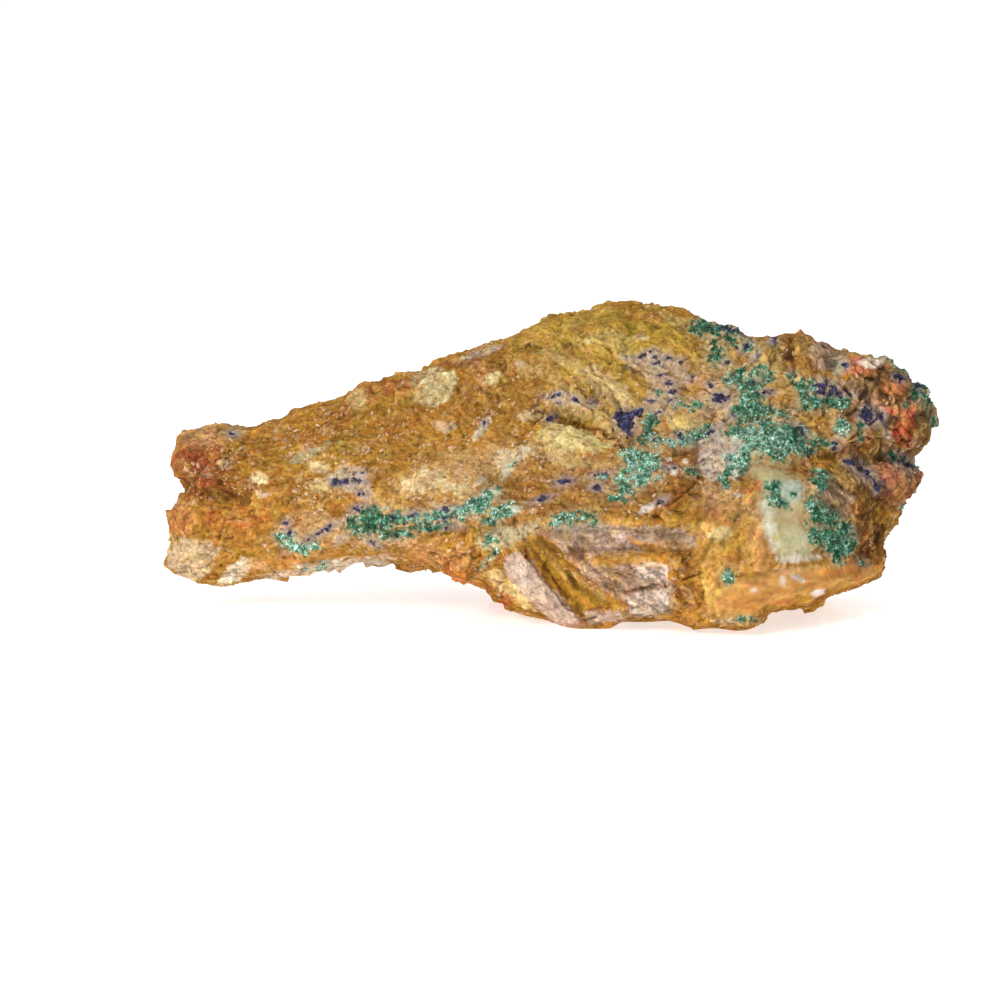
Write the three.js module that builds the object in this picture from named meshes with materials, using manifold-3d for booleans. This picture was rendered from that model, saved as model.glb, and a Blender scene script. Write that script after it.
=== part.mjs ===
// A malachite and azurite druse: a broken block of ochre limonite, about 180 mm long, with raised crusts of
// small malachite crystals and knots of azurite crystals grown on its front face.
//
// Millimetres, +Z up. The stone rests on a flat break at z = 0. Its forms are laid out in the face frame:
// u runs along the stone, v up its front face and t out of the face. The face leans back by LEAN.
import * as THREE from "three";
import { ImprovedNoise } from "three/addons/math/ImprovedNoise.js";
import { mergeVertices } from "three/addons/utils/BufferGeometryUtils.js";
import Module from "manifold-3d";

const wasm = await Module();
wasm.setup();
const { Manifold, Mesh } = wasm;

// ---------------------------------------------------------------- driving dimensions

const LEAN = THREE.MathUtils.degToRad(10); // how far the front face leans back from upright
const FOOT_REACH = 27; // how far forward of the middle the resting break reaches
const CELL = 4; // size of the facets that the stone is broken into
const GRID_FROM = [-96, -6, -38]; // u, v, t of the box that the stone fits in
const GRID_TO = [96, 84, 40];
const RIM_ROUND = 5; // how widely the faces round over into the outline
const SPREAD = { u: -11.6, v: 30.4, length: 650 }; // the stone widens to the back, by t / length about (u, v)
const CRUST_SEAT = 0.42; // clearance under a crust
const CRUST_THICK = 1.1; // a malachite crust's upper face, above the stone
const AZURITE_THICK = 1.3; // the same for azurite
const MALACHITE_CRYSTAL = { spacing: 4, radius: 1.6, height: 2.7, sides: 4 };
const AZURITE_CRYSTAL = { spacing: 3.2, radius: 1.4, height: 2.5, sides: 3 };

// ---------------------------------------------------------------- outline of the stone in the face frame

const OUTLINE = [
  // lower edge, from the left lobe to the right corner
  [-89.8, 16], [-87.7, 13.5], [-83.5, 11.1], [-79, 10], [-72.4, 11.1], [-60.3, 12.5], [-53.4, 14.4],
  [-44.8, 16.2], [-38.5, 16], [-32.9, 14.6], [-27.4, 14.6], [-21.8, 12.1], [-17.2, 10.7], [-11.1, 5.6],
  [-4.6, 3.5], [2.8, 1.6], [8.1, 0.2], [14.4, 0.4], [17.2, 2.3], [30.2, 2.6], [31.1, 1.2], [39.9, 0.9],
  [43.6, 0], [47.6, 0.9], [52, 4.4], [61.5, 6], [69.6, 9.5], [77.3, 12.1],
  // right end: corner, flank, lower lump, notch and head
  [76.8, 15.3], [78.2, 17.6], [76.6, 20], [80, 26], [83.5, 30.9], [86.8, 36], [83.8, 39], [86.3, 42.2],
  [87.2, 45.5], [90, 47.1], [89.3, 52.7], [86.3, 56.4], [82.4, 61], [77.5, 63.8], [68.4, 64.7],
  // crest, from the knuckles over the summit and down the left arm
  [64.5, 65.7], [61.5, 68], [58.7, 68.9], [52.2, 68.9], [48, 68], [44.1, 69.6], [38, 71.7], [32.9, 74.5],
  [26.7, 75.2], [20.9, 76.6], [16.7, 76.8], [11.6, 75.2], [7, 74.2], [1.4, 73.5], [-4.6, 71], [-9.7, 68.2],
  [-18.1, 65.2], [-24.6, 63.6], [-30.2, 60.8], [-37.1, 58.7], [-43.6, 58.2], [-47.3, 55.4], [-51.5, 53.1],
  [-55.2, 53.1], [-60.3, 50.3], [-65.4, 49], [-70.1, 46.9], [-74.7, 47.8], [-76.6, 49.2], [-81.2, 47.8],
  [-85.4, 45.7], [-86.8, 42.2], [-88.4, 39], [-86.8, 35.5],
  // left end: the notch between the nub and the lobe
  [-84, 32.9], [-85.8, 30.4], [-88.6, 27.1], [-88.9, 25.3], [-87.5, 22], [-89.1, 18.3],
];

// ---------------------------------------------------------------- broken faces, as planes t = at + du (u - u0) + dv (v - v0)

const FRONT_FACES = [
  { name: "long slope under the crest", at: 22, u0: 10, v0: 38, du: 0.1, dv: -0.55 },
  { name: "upright lower face", at: 31, u0: 30, v0: 8, du: 0, dv: -0.12 },
  { name: "bevel above the foot", at: 31, u0: 30, v0: 5, du: 0, dv: 0.9 },
  { name: "face of the left arm", at: 14, u0: -60, v0: 30, du: 0.28, dv: 0.35 },
  { name: "right flank", at: 26, u0: 58, v0: 30, du: -0.9, dv: 0.25 },
  { name: "face of the head", at: 9, u0: 80, v0: 55, du: -0.35, dv: -0.3 },
];
const BACK_FACES = [
  { name: "middle of the back", at: -27, u0: 5, v0: 32, du: 0.06, dv: 0.3 },
  { name: "lower back", at: -27, u0: 5, v0: 32, du: -0.05, dv: -0.16 },
  { name: "shoulder of the back", at: -21, u0: -20, v0: 52, du: -0.22, dv: 0.3 },
  { name: "back of the left arm", at: -10, u0: -80, v0: 30, du: -0.28, dv: 0.12 },
  { name: "back of the right end", at: -20, u0: 60, v0: 40, du: 0.42, dv: -0.12 },
  { name: "bevel behind the foot", at: -15, u0: 20, v0: 5, du: 0, dv: -0.85 },
  { name: "upper back", at: -14, u0: 10, v0: 70, du: 0.12, dv: 0.75 },
  { name: "slanting break", at: -24, u0: 30, v0: 50, du: 0.35, dv: 0.45 },
];

// ---------------------------------------------------------------- relief of the front face

// Swellings: an oval dome of half-lengths a and b, its long axis turned by turn degrees.
const LUMPS = [
  { name: "summit", u: 20, v: 68, a: 18, b: 9, turn: 0, rise: 2.5 },
  { name: "eye-shaped boulder", u: 7, v: 44.5, a: 15, b: 5.5, turn: -14, rise: 3 },
  { name: "ridge above the boulder", u: 8, v: 51, a: 14, b: 4, turn: -30, rise: 2 },
  { name: "slanting ridge", u: 13, v: 57, a: 12, b: 4, turn: -42, rise: 2.2 },
  { name: "left slanting ridge", u: -2, v: 61, a: 13, b: 4, turn: -35, rise: 1.6 },
  { name: "cushion between the veins", u: 31, v: 49, a: 8, b: 6, turn: 30, rise: 2 },
  { name: "green mound", u: 55.7, v: 25, a: 13, b: 15, turn: 0, rise: 5 },
  { name: "shoulder of the mound", u: 46, v: 41, a: 13, b: 6, turn: 4, rise: 2.5 },
  { name: "bottom lip", u: 58, v: 10.5, a: 22, b: 5, turn: 7, rise: 3.5 },
  { name: "first knuckle", u: 50, v: 65, a: 6, b: 6, turn: 0, rise: 2.5 },
  { name: "second knuckle", u: 59.5, v: 63, a: 5, b: 8, turn: 0, rise: 3 },
  { name: "brow", u: 66, v: 58, a: 8, b: 4, turn: -10, rise: 2 },
  { name: "upper coral knob", u: 73.8, v: 61, a: 8, b: 5, turn: -8, rise: 3.5 },
  { name: "middle coral knob", u: 79.6, v: 54, a: 6, b: 8, turn: 0, rise: 3.5 },
  { name: "lower coral knob", u: 80.5, v: 45.5, a: 6, b: 5, turn: 0, rise: 3 },
  { name: "lump below the notch", u: 80, v: 33.5, a: 9, b: 8, turn: -20, rise: 5 },
  { name: "striped flank rib", u: 71, v: 30, a: 5, b: 14, turn: 20, rise: 2.5 },
  { name: "left nub", u: -80, v: 42, a: 10, b: 8, turn: 0, rise: 3 },
  { name: "left lobe", u: -82, v: 25, a: 9, b: 8, turn: 0, rise: 2.5 },
  { name: "arm swelling", u: -52, v: 41, a: 20, b: 8, turn: 12, rise: 2 },
  { name: "arm shelf", u: -52, v: 22, a: 13, b: 5, turn: 12, rise: 2 },
  { name: "shelf above the veins", u: -27, v: 35, a: 15, b: 7, turn: 10, rise: 2.5 },
];

// Steps: a panel of the face raised (or sunk, below zero) by rise, its edge softened over edge millimetres.
const PANELS = [
  {
    name: "scoop beside the slab", rise: -5, edge: 2.5, du: 0.32, dv: 0.15,
    points: [[-6.3, 20.9], [-1.2, 23.4], [2.8, 20], [9.3, 14.2], [15, 9.5], [17, 5.8], [11.6, 4], [7.9, 1.5], [4.4, 6], [-2.3, 13.2]],
  },
  {
    name: "slab", rise: 2, edge: 2.5, du: -0.05, dv: 0,
    points: [[-11.8, 17.2], [-9, 18.6], [-5.5, 17.6], [-2.3, 13.2], [4.4, 5.8], [8.6, 0.6], [4.4, 0.4], [-3, 5.3], [-9.3, 12.1]],
  },
  {
    name: "undercut pink shelf", rise: -2.6, edge: 2.5, du: 0, dv: -0.1,
    points: [[1, 25], [11.6, 25.4], [25.5, 24.8], [35, 23.6], [32.5, 16.5], [27.4, 15.4], [6, 18.4]],
  },
  {
    name: "broken pink block", rise: -1.2, edge: 2.5, du: 0, dv: 0.12,
    points: [[14, 15.6], [27, 15], [28.3, 7.2], [27.4, 3.5], [20.9, 3], [17.4, 5.8], [14.4, 10]],
  },
  {
    name: "pale facet on the arm", rise: 1.2, edge: 2.5, du: 0, dv: 0,
    points: [[-33, 59], [-28.5, 61.5], [-20.5, 61.5], [-22, 56], [-24, 52.5], [-31, 52]],
  },
  {
    name: "lilac facet on the lobe", rise: 1, edge: 2.5, du: 0, dv: 0,
    points: [[-89, 15.5], [-86.5, 20.5], [-79, 21.5], [-76.5, 18], [-80, 13.5], [-84, 12]],
  },
];

// Furrows: a crack of the given depth and width along a line.
const FURROWS = [
  { name: "notch at the left end", depth: 3.5, width: 2.5, points: [[-88, 33], [-80, 32], [-71, 31]] },
  { name: "fold of the lobe", depth: 1.5, width: 2.5, points: [[-79, 10], [-74, 14.5], [-69.5, 16.5], [-66, 12]] },
  { name: "vein step on the arm", depth: 1.6, width: 2.5, points: [[-63, 20], [-50, 23], [-38, 24], [-24, 25], [-12, 24.5], [-3, 25]] },
  { name: "crease over the boulder", depth: 2.4, width: 2.5, points: [[-2.3, 50.5], [3, 48.8], [11.6, 46.2], [17.4, 42.6]] },
  { name: "crease beside the slanting ridge", depth: 2.2, width: 2.5, points: [[8, 62], [12.8, 54], [16.7, 50.2]] },
  { name: "crack under the summit", depth: 1.2, width: 2.5, points: [[-11, 65], [-11.5, 56], [-19, 46]] },
  { name: "gap between the knuckles", depth: 2.6, width: 2.5, points: [[55.8, 69], [55.6, 63], [57, 58.5]] },
  { name: "hollow behind the second knuckle", depth: 2.2, width: 2.5, points: [[65.5, 66], [65.5, 61], [68, 57]] },
  { name: "crack beside the coral knobs", depth: 2.2, width: 2.5, points: [[77.5, 62], [73.5, 57], [78, 49.5], [78.5, 42]] },
  { name: "valley under the head", depth: 4, width: 2.6, points: [[58, 44], [66, 40.5], [74, 39.8], [84, 39]] },
  { name: "crack in the flank", depth: 2.6, width: 2.5, points: [[69, 39.5], [75, 34.5], [78.5, 27], [78, 21]] },
  { name: "step over the bottom lip", depth: 2, width: 2.5, points: [[45, 12.5], [53, 15], [64, 16.5], [73, 16]] },
  { name: "crack in the foot", depth: 2, width: 2.5, points: [[33, 23.5], [32, 13], [34, 4]] },
];

// ---------------------------------------------------------------- crusts: outlines in the face frame

const MALACHITE = {
  malachite_crust_crest: [
    [32, 69.8], [33.5, 71.6], [35.5, 73], [37.5, 71.8], [40, 70.8], [43, 70], [43.5, 67.5], [41, 67.8],
    [40.3, 66], [41.2, 64.3], [40, 62.6], [38.5, 61.4], [36.2, 61.6], [36.4, 63], [38, 63.8], [36.8, 65],
    [37, 66.5], [38, 68], [36.5, 69.2], [34, 69.2],
  ],
  malachite_crust_shoulder: [
    [39.6, 57], [41, 59.4], [43.5, 60.9], [48.5, 60.7], [50.6, 61.6], [52.2, 60.4], [51.6, 58.6],
    [49.2, 58], [49, 54.5], [48, 53], [50.5, 52.2], [56, 51], [57.3, 49.6], [49, 49.1], [42.4, 49.2],
    [41.4, 52.4], [43.6, 53.4], [44.6, 55], [43.6, 56.6],
  ],
  malachite_crust_band: [
    [38.8, 47.2], [42, 48], [49, 48.4], [56, 48.5], [60, 46.2], [65.8, 43.6], [65.4, 42], [60, 43.6],
    [57.4, 43.4], [60.8, 42.2], [60.4, 40.6], [54, 39.2], [49, 40.8], [46.8, 40], [45.4, 37.2],
    [42.4, 35], [41, 36.6], [43.6, 39.8], [43.2, 42.4], [45.6, 44], [42.4, 45.4],
  ],
  malachite_crust_brow: [
    [55.4, 57.4], [56.6, 59], [58.8, 58], [59.8, 56.6], [60.4, 54.2], [69.8, 53.8], [70, 52], [67, 51.2],
    [64, 52], [61, 50.8], [58.4, 50.8], [57.4, 52.4], [58.4, 54.2], [57.2, 55.6],
  ],
  malachite_ribbon: [
    [20.6, 44.8], [21.6, 45.9], [23.6, 45.8], [26, 44.8], [30.4, 44.8], [33, 46.4], [36, 48], [38.2, 48.4],
    [38, 46.6], [34.2, 44.2], [31, 43], [26.6, 43], [23, 43.6], [21, 43.4],
  ],
  malachite_fan: [
    [12.4, 30.8], [14, 32], [17.4, 32.2], [14.6, 34], [14.4, 35.4], [17, 36], [17, 39.4], [15.6, 41.6],
    [18.6, 42.6], [21.6, 42], [25.4, 40.6], [26, 37.2], [24.4, 35.2], [21, 33.6], [18.6, 30.8], [16, 30],
  ],
  malachite_wisp: [[21.8, 46.8], [21.9, 49.6], [23.4, 50.6], [25.6, 49.6], [24.4, 48], [23.8, 46.7]],
  malachite_thread: [[28.4, 53.2], [29.6, 54.2], [32.6, 52.9], [35.8, 52.8], [35.8, 51.2], [31.6, 51.2]],
  malachite_vein_left: [
    [-48.6, 23.8], [-46.4, 26], [-45, 26.8], [-41.6, 28.2], [-36, 28.2], [-32, 27.2], [-22.8, 28.2],
    [-22.6, 26], [-27.6, 24.8], [-34, 24.8], [-38, 22.4], [-41, 21.6], [-46.4, 23],
  ],
  malachite_vein_fork: [
    [-22, 26.6], [-21.6, 28.4], [-17, 31.8], [-14.4, 33.4], [-12.2, 32.6], [-13, 30.6], [-15, 29.4],
    [-11, 29], [-8.6, 30], [-7.4, 28.6], [-9.4, 26.6], [-13, 25.8], [-15.6, 27], [-18.6, 26.8], [-20.6, 26],
  ],
  malachite_vein_tip: [
    [-64.6, 21.6], [-62.4, 23.8], [-59.8, 23], [-59.6, 21], [-55.4, 20.6], [-53, 19.4], [-56.2, 17.8],
    [-59, 18.6], [-62, 20.2],
  ],
  malachite_patch_under_arm: [[-16.2, 20.2], [-15.4, 22.6], [-13, 23.4], [-12.2, 22.4], [-13, 20.4], [-14.8, 19.2]],
  malachite_vein_ledge: [
    [-2, 24.6], [1, 26.4], [5, 27.4], [9.4, 27.4], [11.8, 26], [11.4, 24.8], [7.4, 25], [3.6, 24.6], [0, 24.4],
  ],
  malachite_ring: [
    [49.6, 35.8], [51.6, 34.9], [54, 35.2], [57.8, 33.8], [58.2, 31], [56.6, 29.8], [55, 28.4],
    [51.6, 28.6], [50.6, 31], [50, 33],
  ],
  malachite_patch_upper_flank: [[59.4, 36.1], [62.4, 35.5], [64.8, 33.8], [63.6, 32.5], [60.8, 32.4], [60, 34]],
  malachite_crust_flank: [
    [59.2, 30.4], [61.6, 31], [63, 28.4], [66.8, 28.4], [67, 26], [70.8, 24], [69.8, 21.8], [71.6, 20.2],
    [69.6, 18.6], [68, 16.2], [66, 15.6], [65, 17.6], [65.4, 19.4], [60, 20.2], [59.2, 22.6], [60.8, 23.8],
    [59.8, 26],
  ],
  malachite_drop: [[39.2, 12.8], [40.4, 14.7], [42.2, 14.3], [43.2, 12.4], [42, 11], [40, 11.2]],
  malachite_knob: [[65.6, 48.8], [68, 49.6], [69.4, 48.2], [68.4, 46.9], [65.8, 46.4]],
};

const AZURITE = {
  azurite_vee: [
    [14.4, 49.6], [16, 50.8], [18.8, 50.7], [21.8, 51.8], [22, 50.8], [19.2, 49], [18.9, 47.5],
    [19.8, 45], [18.4, 44.4], [17, 46.5], [16, 48.4], [14.6, 48.8],
  ],
  azurite_strip: [[61.4, 55.4], [62, 57.6], [64, 58.6], [66, 57], [69.8, 56], [69.9, 54.8], [65, 54.9]],
  azurite_knot: [[37.2, 53.8], [38, 55.6], [40, 55], [42, 55], [41.6, 53.2], [40.2, 52.4], [38, 52.6]],
  azurite_head_cluster: [[71.5, 51.5], [73.5, 52.6], [75.4, 51.2], [78, 50.3], [78, 48.6], [74, 47.8], [72, 49.5]],
  azurite_crack: [[68.6, 40.2], [70.8, 39.8], [75.8, 36.4], [76, 34.6], [73.6, 34.8], [71, 37], [69, 38.6]],
  azurite_notch: [[78.8, 40.4], [81, 40.8], [82.6, 39.4], [85, 39], [84.4, 37.4], [81.8, 37.6], [79.8, 39]],
  azurite_band_end: [[66.6, 44.2], [68.2, 45.8], [69.6, 45], [67.6, 42.6], [66.6, 41.2], [66, 41.6]],
  azurite_arm_pair: [[-50.2, 34.6], [-48.4, 35.4], [-45, 35.5], [-44.8, 34.4], [-46.4, 33.8], [-49.8, 33.6]],
  azurite_vein_cap: [[-46, 28.4], [-44.6, 29.6], [-42.2, 30.2], [-42, 29.3], [-44, 28.1], [-45.4, 27.8]],
  azurite_dash: [[1, 34.8], [2.8, 35.6], [5.6, 36.1], [5.8, 34.8], [3, 33.8], [1.4, 33.2]],
  azurite_bead: [[9.4, 33.4], [10.4, 34.6], [12.4, 34.2], [12.6, 32.8], [10.6, 32.2]],
};

// ---------------------------------------------------------------- the stone as a field

const noise = new ImprovedNoise();
const { clamp, smoothstep, degToRad } = THREE.MathUtils;

// The larger of a and b, rounded over where they meet.
function roundMax(a, b, k) {
  const h = Math.max(k - Math.abs(a - b), 0) / k;
  return Math.max(a, b) + (h * h * k) / 4;
}

// Distance from (u, v) to the segment a-b.
function toSegment(u, v, [au, av], [bu, bv]) {
  const du = bu - au;
  const dv = bv - av;
  const s = clamp(((u - au) * du + (v - av) * dv) / (du * du + dv * dv), 0, 1);
  return Math.hypot(u - au - s * du, v - av - s * dv);
}

function toLine(u, v, points) {
  let best = Infinity;
  for (let i = 1; i < points.length; i++) best = Math.min(best, toSegment(u, v, points[i - 1], points[i]));
  return best;
}

// Signed distance to a closed outline, negative inside.
function toOutline(u, v, points) {
  let inside = false;
  for (let i = 0, j = points.length - 1; i < points.length; j = i++) {
    const [pu, pv] = points[i];
    const [qu, qv] = points[j];
    if (pv > v !== qv > v && u < ((qu - pu) * (v - pv)) / (qv - pv) + pu) inside = !inside;
  }
  const gap = toLine(u, v, [...points, points[0]]);
  return inside ? -gap : gap;
}

const plane = (face, u, v) => face.at + face.du * (u - face.u0) + face.dv * (v - face.v0);

function lumpHeight(lump, u, v) {
  const turn = degToRad(lump.turn);
  const du = u - lump.u;
  const dv = v - lump.v;
  const along = (du * Math.cos(turn) + dv * Math.sin(turn)) / lump.a;
  const across = (dv * Math.cos(turn) - du * Math.sin(turn)) / lump.b;
  const q = Math.max(1 - along * along - across * across, 0);
  return lump.rise * q * q * (3 - 2 * q);
}

function panelHeight(panel, u, v) {
  const inside = 1 - smoothstep(toOutline(u, v, panel.points), -panel.edge, 0);
  if (inside === 0) return 0;
  const [u0, v0] = panel.points[0];
  return inside * (panel.rise + panel.du * (u - u0 - 10) + panel.dv * (v - v0 + 8));
}

function furrowDepth(furrow, u, v) {
  const x = toLine(u, v, furrow.points) / furrow.width;
  return furrow.depth * Math.exp(-x * x);
}

// How far the front face stands out at (u, v).
function frontAt(u, v) {
  let t = -FRONT_FACES.reduce((most, face) => roundMax(most, -plane(face, u, v), 3), -99);
  for (const lump of LUMPS) t += lumpHeight(lump, u, v);
  for (const panel of PANELS) t += panelHeight(panel, u, v);
  for (const furrow of FURROWS) t -= furrowDepth(furrow, u, v);
  return t;
}

function backAt(u, v) {
  return BACK_FACES.reduce((most, face) => roundMax(most, plane(face, u, v), 2), -99);
}

// Negative inside the stone, positive outside.
function field(x, y, t) {
  const spread = 1 - t / SPREAD.length;
  const u = SPREAD.u + (x - SPREAD.u) / spread;
  const v = SPREAD.v + (y - SPREAD.v) / spread;
  const rough = 1.1 * noise.noise(u / 10, v / 10, t / 10);
  const chips = smoothstep(-t, -2, 10) * 4.5 * (Math.abs(noise.noise(u / 21, v / 18 + 5, t / 21)) - 0.22);
  const rim = toOutline(u, v, OUTLINE);
  const front = t - frontAt(u, v);
  const back = backAt(u, v) - t;
  return roundMax(roundMax(rim, front, RIM_ROUND), back, RIM_ROUND) + rough + chips;
}

function slope(x, y, t) {
  const e = 0.15;
  return new THREE.Vector3(
    field(x + e, y, t) - field(x - e, y, t),
    field(x, y + e, t) - field(x, y - e, t),
    field(x, y, t + e) - field(x, y, t - e),
  ).normalize();
}

// ---------------------------------------------------------------- from the field to facets

// Dual contouring: one vertex in each cell that the surface crosses, one quad around each edge that it crosses.
function facets(low, high, step) {
  const count = low.map((l, i) => Math.ceil((high[i] - l) / step) + 1);
  const at = (i, j, k) => [low[0] + i * step, low[1] + j * step, low[2] + k * step];
  const index = (i, j, k) => (i * count[1] + j) * count[2] + k;
  const values = new Float64Array(count[0] * count[1] * count[2]);
  for (let i = 0; i < count[0]; i++)
    for (let j = 0; j < count[1]; j++)
      for (let k = 0; k < count[2]; k++) values[index(i, j, k)] = field(...at(i, j, k));

  const corners = [0, 1, 2, 3, 4, 5, 6, 7].map((c) => [c & 1, (c >> 1) & 1, (c >> 2) & 1]);
  const positions = [];
  const vertexOf = new Map();
  function cellVertex(i, j, k) {
    const key = index(i, j, k);
    if (vertexOf.has(key)) return vertexOf.get(key);
    const crossings = [];
    for (const a of corners)
      for (let axis = 0; axis < 3; axis++) {
        if (a[axis]) continue;
        const b = a.map((x, n) => (n === axis ? 1 : x));
        const va = values[index(i + a[0], j + a[1], k + a[2])];
        const vb = values[index(i + b[0], j + b[1], k + b[2])];
        if (va < 0 === vb < 0) continue;
        const s = va / (va - vb);
        const p = new THREE.Vector3(...at(...[i, j, k].map((x, n) => x + a[n] + s * (b[n] - a[n]))));
        crossings.push({ p, n: slope(p.x, p.y, p.z) });
      }
    const middle = crossings.reduce((sum, c) => sum.add(c.p), new THREE.Vector3()).divideScalar(crossings.length);
    const vertex = middle.clone();
    for (let pass = 0; pass < 5; pass++) {
      const pull = new THREE.Vector3();
      for (const { p, n } of crossings) pull.addScaledVector(n, n.dot(p.clone().sub(vertex)));
      vertex.addScaledVector(pull, 0.7 / crossings.length);
    }
    const inset = 0.12 * step;
    const corner = new THREE.Vector3(...at(i, j, k)).addScalar(inset);
    vertex.clamp(corner, corner.clone().addScalar(step - 2 * inset));
    vertexOf.set(key, positions.length / 3);
    positions.push(vertex.x, vertex.y, vertex.z);
    return vertexOf.get(key);
  }

  const triangles = [];
  const vertexAt = (n) => new THREE.Vector3().fromArray(positions, 3 * n);
  function quad(a, b, c, d) {
    if (vertexAt(a).distanceTo(vertexAt(c)) < vertexAt(b).distanceTo(vertexAt(d))) triangles.push(a, b, c, a, c, d);
    else triangles.push(a, b, d, b, c, d);
  }
  for (let i = 1; i < count[0] - 1; i++)
    for (let j = 1; j < count[1] - 1; j++)
      for (let k = 1; k < count[2] - 1; k++) {
        const here = values[index(i, j, k)] < 0;
        const ring = (f) => (here ? f : f.reverse());
        if (here !== values[index(i + 1, j, k)] < 0)
          quad(...ring([[0, -1, -1], [0, 0, -1], [0, 0, 0], [0, -1, 0]].map(([a, b, c]) => cellVertex(i + a, j + b, k + c))));
        if (here !== values[index(i, j + 1, k)] < 0)
          quad(...ring([[-1, 0, -1], [-1, 0, 0], [0, 0, 0], [0, 0, -1]].map(([a, b, c]) => cellVertex(i + a, j + b, k + c))));
        if (here !== values[index(i, j, k + 1)] < 0)
          quad(...ring([[-1, -1, 0], [0, -1, 0], [0, 0, 0], [-1, 0, 0]].map(([a, b, c]) => cellVertex(i + a, j + b, k + c))));
      }
  return { positions, triangles };
}

// ---------------------------------------------------------------- solids

function solid(positions, triangles) {
  return new Manifold(
    new Mesh({ numProp: 3, vertProperties: Float32Array.from(positions), triVerts: Uint32Array.from(triangles) }),
  );
}

function solidOf(geometry) {
  const bare = geometry.clone();
  bare.deleteAttribute("normal");
  bare.deleteAttribute("uv");
  const merged = mergeVertices(bare, 1e-4);
  return solid(merged.attributes.position.array, merged.index.array);
}

function geometryOf(manifold) {
  const mesh = manifold.getMesh();
  const geometry = new THREE.BufferGeometry();
  geometry.setAttribute("position", new THREE.BufferAttribute(mesh.vertProperties, mesh.numProp));
  geometry.setIndex(new THREE.BufferAttribute(mesh.triVerts, 1));
  geometry.computeVertexNormals();
  return geometry;
}

const largest = (manifold) => manifold.decompose().sort((a, b) => b.volume() - a.volume())[0];

const shell = facets(GRID_FROM, GRID_TO, CELL);
const normals = [];
for (let n = 0; n < shell.positions.length; n += 3) normals.push(slope(...shell.positions.slice(n, n + 3)));

// The stone, every facet moved outwards by rise(n) at its corner n.
function grown(rise) {
  const moved = shell.positions.map((x, n) => x + normals[Math.floor(n / 3)].getComponent(n % 3) * rise(Math.floor(n / 3)));
  return solid(moved, shell.triangles);
}

// Everything below the break that the stone rests on, in the face frame.
function ground() {
  const depth = 60;
  const block = new THREE.BoxGeometry(260, depth, 260);
  block.translate(0, -depth / 2, 0);
  block.rotateX(LEAN);
  block.translate(0, 0, FOOT_REACH);
  return solidOf(block);
}

// A wall through the whole front of the stone, with the given outline on the face.
function prism(points) {
  const shape = new THREE.Shape(points.map(([u, v]) => onFace(u, v).point));
  return solidOf(new THREE.ExtrudeGeometry(shape, { depth: 60, bevelEnabled: false }).translate(0, 0, -4));
}

const floor = ground();
const bare = grown(() => 0);
const seat = grown(() => CRUST_SEAT);
const stone = largest(bare.subtract(floor));

const crustTop = grown((n) => CRUST_THICK + 0.35 * Math.sin(12.9 * n));
const azuriteTop = grown((n) => AZURITE_THICK + 0.5 * Math.sin(7.7 * n));

// The point of the front face at (u, v), with the stone's spread, and the way it faces.
function onFace(u, v) {
  const point = new THREE.Vector3(u, v, 40);
  while (point.z > -30 && field(point.x, point.y, point.z) > 0) {
    point.z -= 0.25;
    const spread = 1 - point.z / SPREAD.length;
    point.x = SPREAD.u + (u - SPREAD.u) * spread;
    point.y = SPREAD.v + (v - SPREAD.v) * spread;
  }
  return { point, way: slope(point.x, point.y, point.z) };
}

// A pointed crystal that stands on the face at (u, v).
function crystal(u, v, { radius, height, sides, seed }) {
  const { point, way } = onFace(u, v);
  if (way.z < 0.1) return null;
  const tilt = new THREE.Vector3(Math.sin(seed * 3.1), Math.sin(seed * 5.3), Math.sin(seed * 7.7)).multiplyScalar(0.35);
  const axis = way.clone().add(tilt).normalize();
  const cone = new THREE.ConeGeometry(radius, height, sides, 1).translate(0, height / 2, 0);
  cone.rotateY(seed).applyQuaternion(new THREE.Quaternion().setFromUnitVectors(new THREE.Vector3(0, 1, 0), axis));
  cone.translate(point.x, point.y, point.z);
  return solidOf(cone);
}

// A crust on the face inside an outline, with crystals standing out of it.
function crust(points, top, { spacing, radius, height, sides }) {
  const wall = prism(points);
  let body = top.intersect(wall);
  const us = points.map((p) => p[0]);
  const vs = points.map((p) => p[1]);
  let seed = us[0];
  for (let u = Math.min(...us) + spacing / 3; u < Math.max(...us); u += spacing)
    for (let v = Math.min(...vs) + spacing / 3; v < Math.max(...vs); v += spacing) {
      seed += 1.7;
      const cu = u + 0.3 * spacing * Math.sin(seed * 2.3);
      const cv = v + 0.3 * spacing * Math.sin(seed * 4.1);
      if (toOutline(cu, cv, points) > -0.35 * radius) continue;
      const one = crystal(cu, cv, { radius, height, sides, seed });
      if (one) body = body.add(one);
    }
  return largest(body.intersect(wall).subtract(seat).subtract(floor));
}

// ---------------------------------------------------------------- finishes and the assembled group

const finish = {
  limonite: new THREE.MeshStandardMaterial({ color: "#b5822f", roughness: 0.85, metalness: 0 }),
  malachite: new THREE.MeshStandardMaterial({ color: "#2f8a66", roughness: 0.5, metalness: 0 }),
  azurite: new THREE.MeshStandardMaterial({ color: "#2f2766", roughness: 0.4, metalness: 0 }),
};

const specimen = new THREE.Group();

function place(name, manifold, material) {
  const mesh = new THREE.Mesh(geometryOf(manifold), material);
  mesh.name = name;
  specimen.add(mesh);
}

place("limonite_matrix", stone, finish.limonite);
for (const [name, points] of Object.entries(MALACHITE))
  place(name, crust(points, crustTop, MALACHITE_CRYSTAL), finish.malachite);
for (const [name, points] of Object.entries(AZURITE))
  place(name, crust(points, azuriteTop, AZURITE_CRYSTAL), finish.azurite);

// Out of the face frame: v up the leaning face, t towards the front (-Y).
specimen.rotation.x = Math.PI / 2 - LEAN;
specimen.updateMatrixWorld(true);
const box = new THREE.Box3().setFromObject(specimen, true);
const centre = box.getCenter(new THREE.Vector3());

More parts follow.
